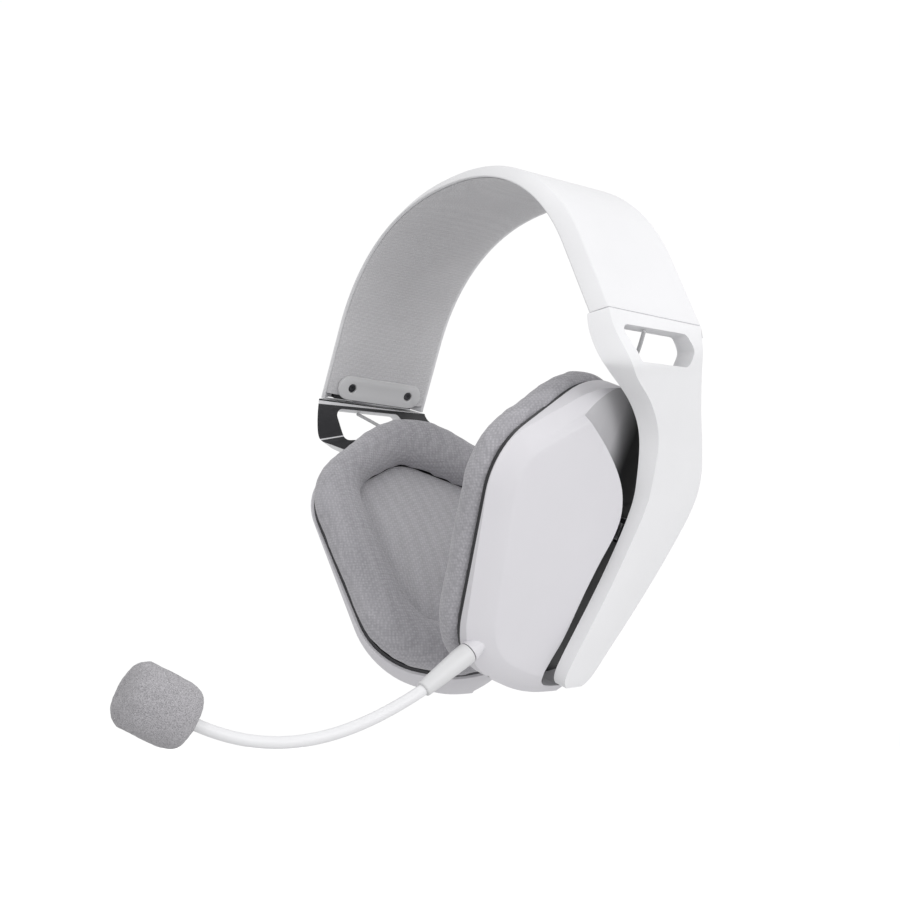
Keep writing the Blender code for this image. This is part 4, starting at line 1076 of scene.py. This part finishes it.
def make_windscreen():
    """Foam windscreen: a rounded barrel with a slightly uneven cut surface."""
    radius, length = FOAM_RADIUS, FOAM_LENGTH
    profile = [(5.3, -2.6), (radius - 4.0, -2.6), (radius - 2.2, -2.1), (radius - 1.2, -0.8),
               (radius - 0.5, 1.0), (radius - 0.1, 3.0)]
    for i in range(1, 9):
        share = i / 8
        profile.append((radius - 0.1 + 0.1 * math.sin(math.pi * share), 3.0 + (length - 10.0) * share))
    profile += [(radius - 0.6, length - 6.0), (radius - 1.4, length - 4.7), (radius - 2.8, length - 3.6),
                (radius - 5.0, length - 2.9), (3.5, length - 2.65), (0.0, length - 2.6),
                (0.0, 18.0), (5.3, 18.0)]
    foam = turned("mic_windscreen", profile + [profile[0]], tip_frame(0.0), 96)
    finer = foam.modifiers.new("finer", "SUBSURF")
    finer.subdivision_type = "SIMPLE"
    finer.levels = finer.render_levels = 1
    apply_modifiers(foam)
    normals = [v.normal.copy() for v in foam.data.vertices]
    for vertex, normal in zip(foam.data.vertices, normals):
        rough = noise.noise(vertex.co * 260.0) * 0.16 + noise.noise(vertex.co * 900.0) * 0.1
        vertex.co += normal * rough * MM
    smooth(foam, 70.0)
    dress(foam, FOAM, "mic_tip", "grey_foam", "mic_foam")


# ------------------------------------------------------------------ carried-over nodes
def refine(node, material, width, slot, angle=30.0):
    """Copy of a hard CAD part with rounded edges and its own finish."""
    bm = bmesh.new()
    bm.from_mesh(NODES[node].data)
    bmesh.ops.remove_doubles(bm, verts=bm.verts, dist=1e-6)
    bmesh.ops.dissolve_limit(bm, angle_limit=math.radians(1.0), verts=bm.verts, edges=bm.edges)
    mesh = bpy.data.meshes.new(node + "_fine")
    bm.to_mesh(mesh)
    bm.free()
    item = bpy.data.objects.new(node + "_fine", mesh)
    bpy.context.scene.collection.objects.link(item)
    soften(item, width, 2, angle)
    dress(item, material, NODES[node]["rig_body"], slot, node)


REFINED = (
    ("power_button", WHITE, 0.2, "white_plastic"),
    ("mute_button", WHITE, 0.2, "white_plastic"),
    ("volume_wheel", WHITE, 0.08, "white_plastic"),
    ("usb_port", STEEL, 0.1, "steel"),
    ("yoke_inner_cover_left", BLACK, 0.2, "dark_plastic"),
    ("yoke_inner_cover_right", BLACK, 0.2, "dark_plastic"),
    ("slider_strip_left", STEEL, 0.1, "steel"),
    ("slider_strip_right", STEEL, 0.1, "steel"),
    ("yoke_bracket_left", STEEL, 0.12, "steel"),
    ("yoke_bracket_right", STEEL, 0.12, "steel"),
    ("cup_bracket_left", STEEL, 0.12, "steel"),
    ("cup_bracket_right", STEEL, 0.12, "steel"),
    ("gimbal_block_left", BLACK, 0.2, "dark_plastic"),
    ("gimbal_block_right", BLACK, 0.2, "dark_plastic"),
    ("end_screw_left_front", DARK_STEEL, 0.08, "dark_screw"),
    ("end_screw_left_rear", DARK_STEEL, 0.08, "dark_screw"),
    ("end_screw_right_front", DARK_STEEL, 0.08, "dark_screw"),
    ("end_screw_right_rear", DARK_STEEL, 0.08, "dark_screw"),
)
CARRIED = (
    (STEEL, ("headband_spring", "yaw_pin", "tilt_pin", "driver_magnet", "mic_plug", "mic_capsule")),
    (BLACK, ("slider_guide", "cup_baffle", "pad_frame", "driver_frame", "mic_capsule_holder", "mic_socket")),
    (FILM, ("driver_diaphragm",)),
    (BOARD, ("circuit_board",)),
    (FOIL, ("battery_cell",)),
)


def dress_nodes():
    for node, material, width, slot in REFINED:
        refine(node, material, width, slot)
    for material, bases in CARRIED:
        for name, item in NODES.items():
            if any(name in (base, base + "_left", base + "_right") for base in bases):
                for place in item.material_slots:
                    place.material = material


# ------------------------------------------------------------------ room
def make_camera():
    back = Vector(CAMERA_RIGHT).cross(Vector(CAMERA_UP))
    rows = Matrix((Vector(CAMERA_RIGHT), Vector(CAMERA_UP), back)).transposed().to_4x4()
    camera = bpy.data.objects.new("camera", bpy.data.cameras.new("camera"))
    camera.matrix_world = Matrix.Translation(Vector(CAMERA_PLACE)) @ rows
    camera.data.lens = CAMERA_LENS
    camera.data.sensor_width = CAMERA_SENSOR
    camera.data.clip_start = 0.01
    bpy.context.scene.collection.objects.link(camera)
    bpy.context.scene.camera = camera


def area_light(name, place, size, power):
    light = bpy.data.lights.new(name, "AREA")
    light.shape = "SQUARE"
    light.size = size
    light.energy = power
    item = bpy.data.objects.new(name, light)
    item.location = place
    item.rotation_euler = (Vector(LIGHT_TARGET) - Vector(place)).to_track_quat("-Z", "Y").to_euler()
    bpy.context.scene.collection.objects.link(item)


def make_room():
    floor = Shader("studio_floor")
    tone = floor.mix(floor.noise(400.0, 3.0), (0.7, 0.7, 0.7), (0.72, 0.72, 0.72))
    seen = floor.tree.nodes.new("ShaderNodeLightPath").outputs["Is Camera Ray"]
    floor.finish(tone, 0.9, Emission_Color=(1.0, 1.0, 1.0, 1.0))
    floor.feed(floor.surface.inputs["Emission Strength"], floor.span(seen, 0.0, FLOOR_GLOW))
    bm = bmesh.new()
    bmesh.ops.create_grid(bm, x_segments=1, y_segments=1, size=FLOOR_SIZE)
    plane = finish_mesh(bm, "floor")
    plane.location.z = FLOOR_LEVEL
    plane.data.materials.append(floor.material)
    make_world()
    area_light("key", KEY_PLACE, KEY_SIZE, KEY_POWER)
    area_light("top", TOP_PLACE, TOP_SIZE, TOP_POWER)
    bpy.context.scene.view_settings.view_transform = "Standard"


def make_world():
    """White studio walls whose light is weaker from the front and the wearer's right."""
    world = bpy.data.worlds.new("studio")
    world.use_nodes = True
    tree = world.node_tree
    place = tree.nodes.new("ShaderNodeTexCoord").outputs["Generated"]
    aim = tree.nodes.new("ShaderNodeVectorMath")
    aim.operation = "DOT_PRODUCT"
    tree.links.new(place, aim.inputs[0])
    aim.inputs[1].default_value = WORLD_BRIGHT_SIDE
    ramp = tree.nodes.new("ShaderNodeMapRange")
    tree.links.new(aim.outputs["Value"], ramp.inputs["Value"])
    ramp.inputs["From Min"].default_value = -WORLD_SPAN
    ramp.inputs["From Max"].default_value = WORLD_SPAN
    ramp.inputs["To Min"].default_value = WORLD_DIM
    ramp.inputs["To Max"].default_value = WORLD_FULL
    seen = tree.nodes.new("ShaderNodeLightPath").outputs["Is Camera Ray"]
    strength = tree.nodes.new("ShaderNodeMix")
    tree.links.new(seen, strength.inputs["Factor"])
    tree.links.new(ramp.outputs["Result"], strength.inputs["A"])
    strength.inputs["B"].default_value = WORLD_SEEN
    back = tree.nodes["Background"]
    tree.links.new(strength.outputs["Result"], back.inputs["Strength"])
    back.inputs["Color"].default_value = (1.0, 1.0, 1.0, 1.0)
    bpy.context.scene.world = world


def build():
    make_headband()
    make_lining()
    make_end_plates()
    make_yokes()
    make_wires()
    make_cup_shells()
    make_seams()
    make_ear_pads()
    make_driver_cloths()
    make_microphone()
    dress_nodes()
    make_camera()
    make_room()


build()
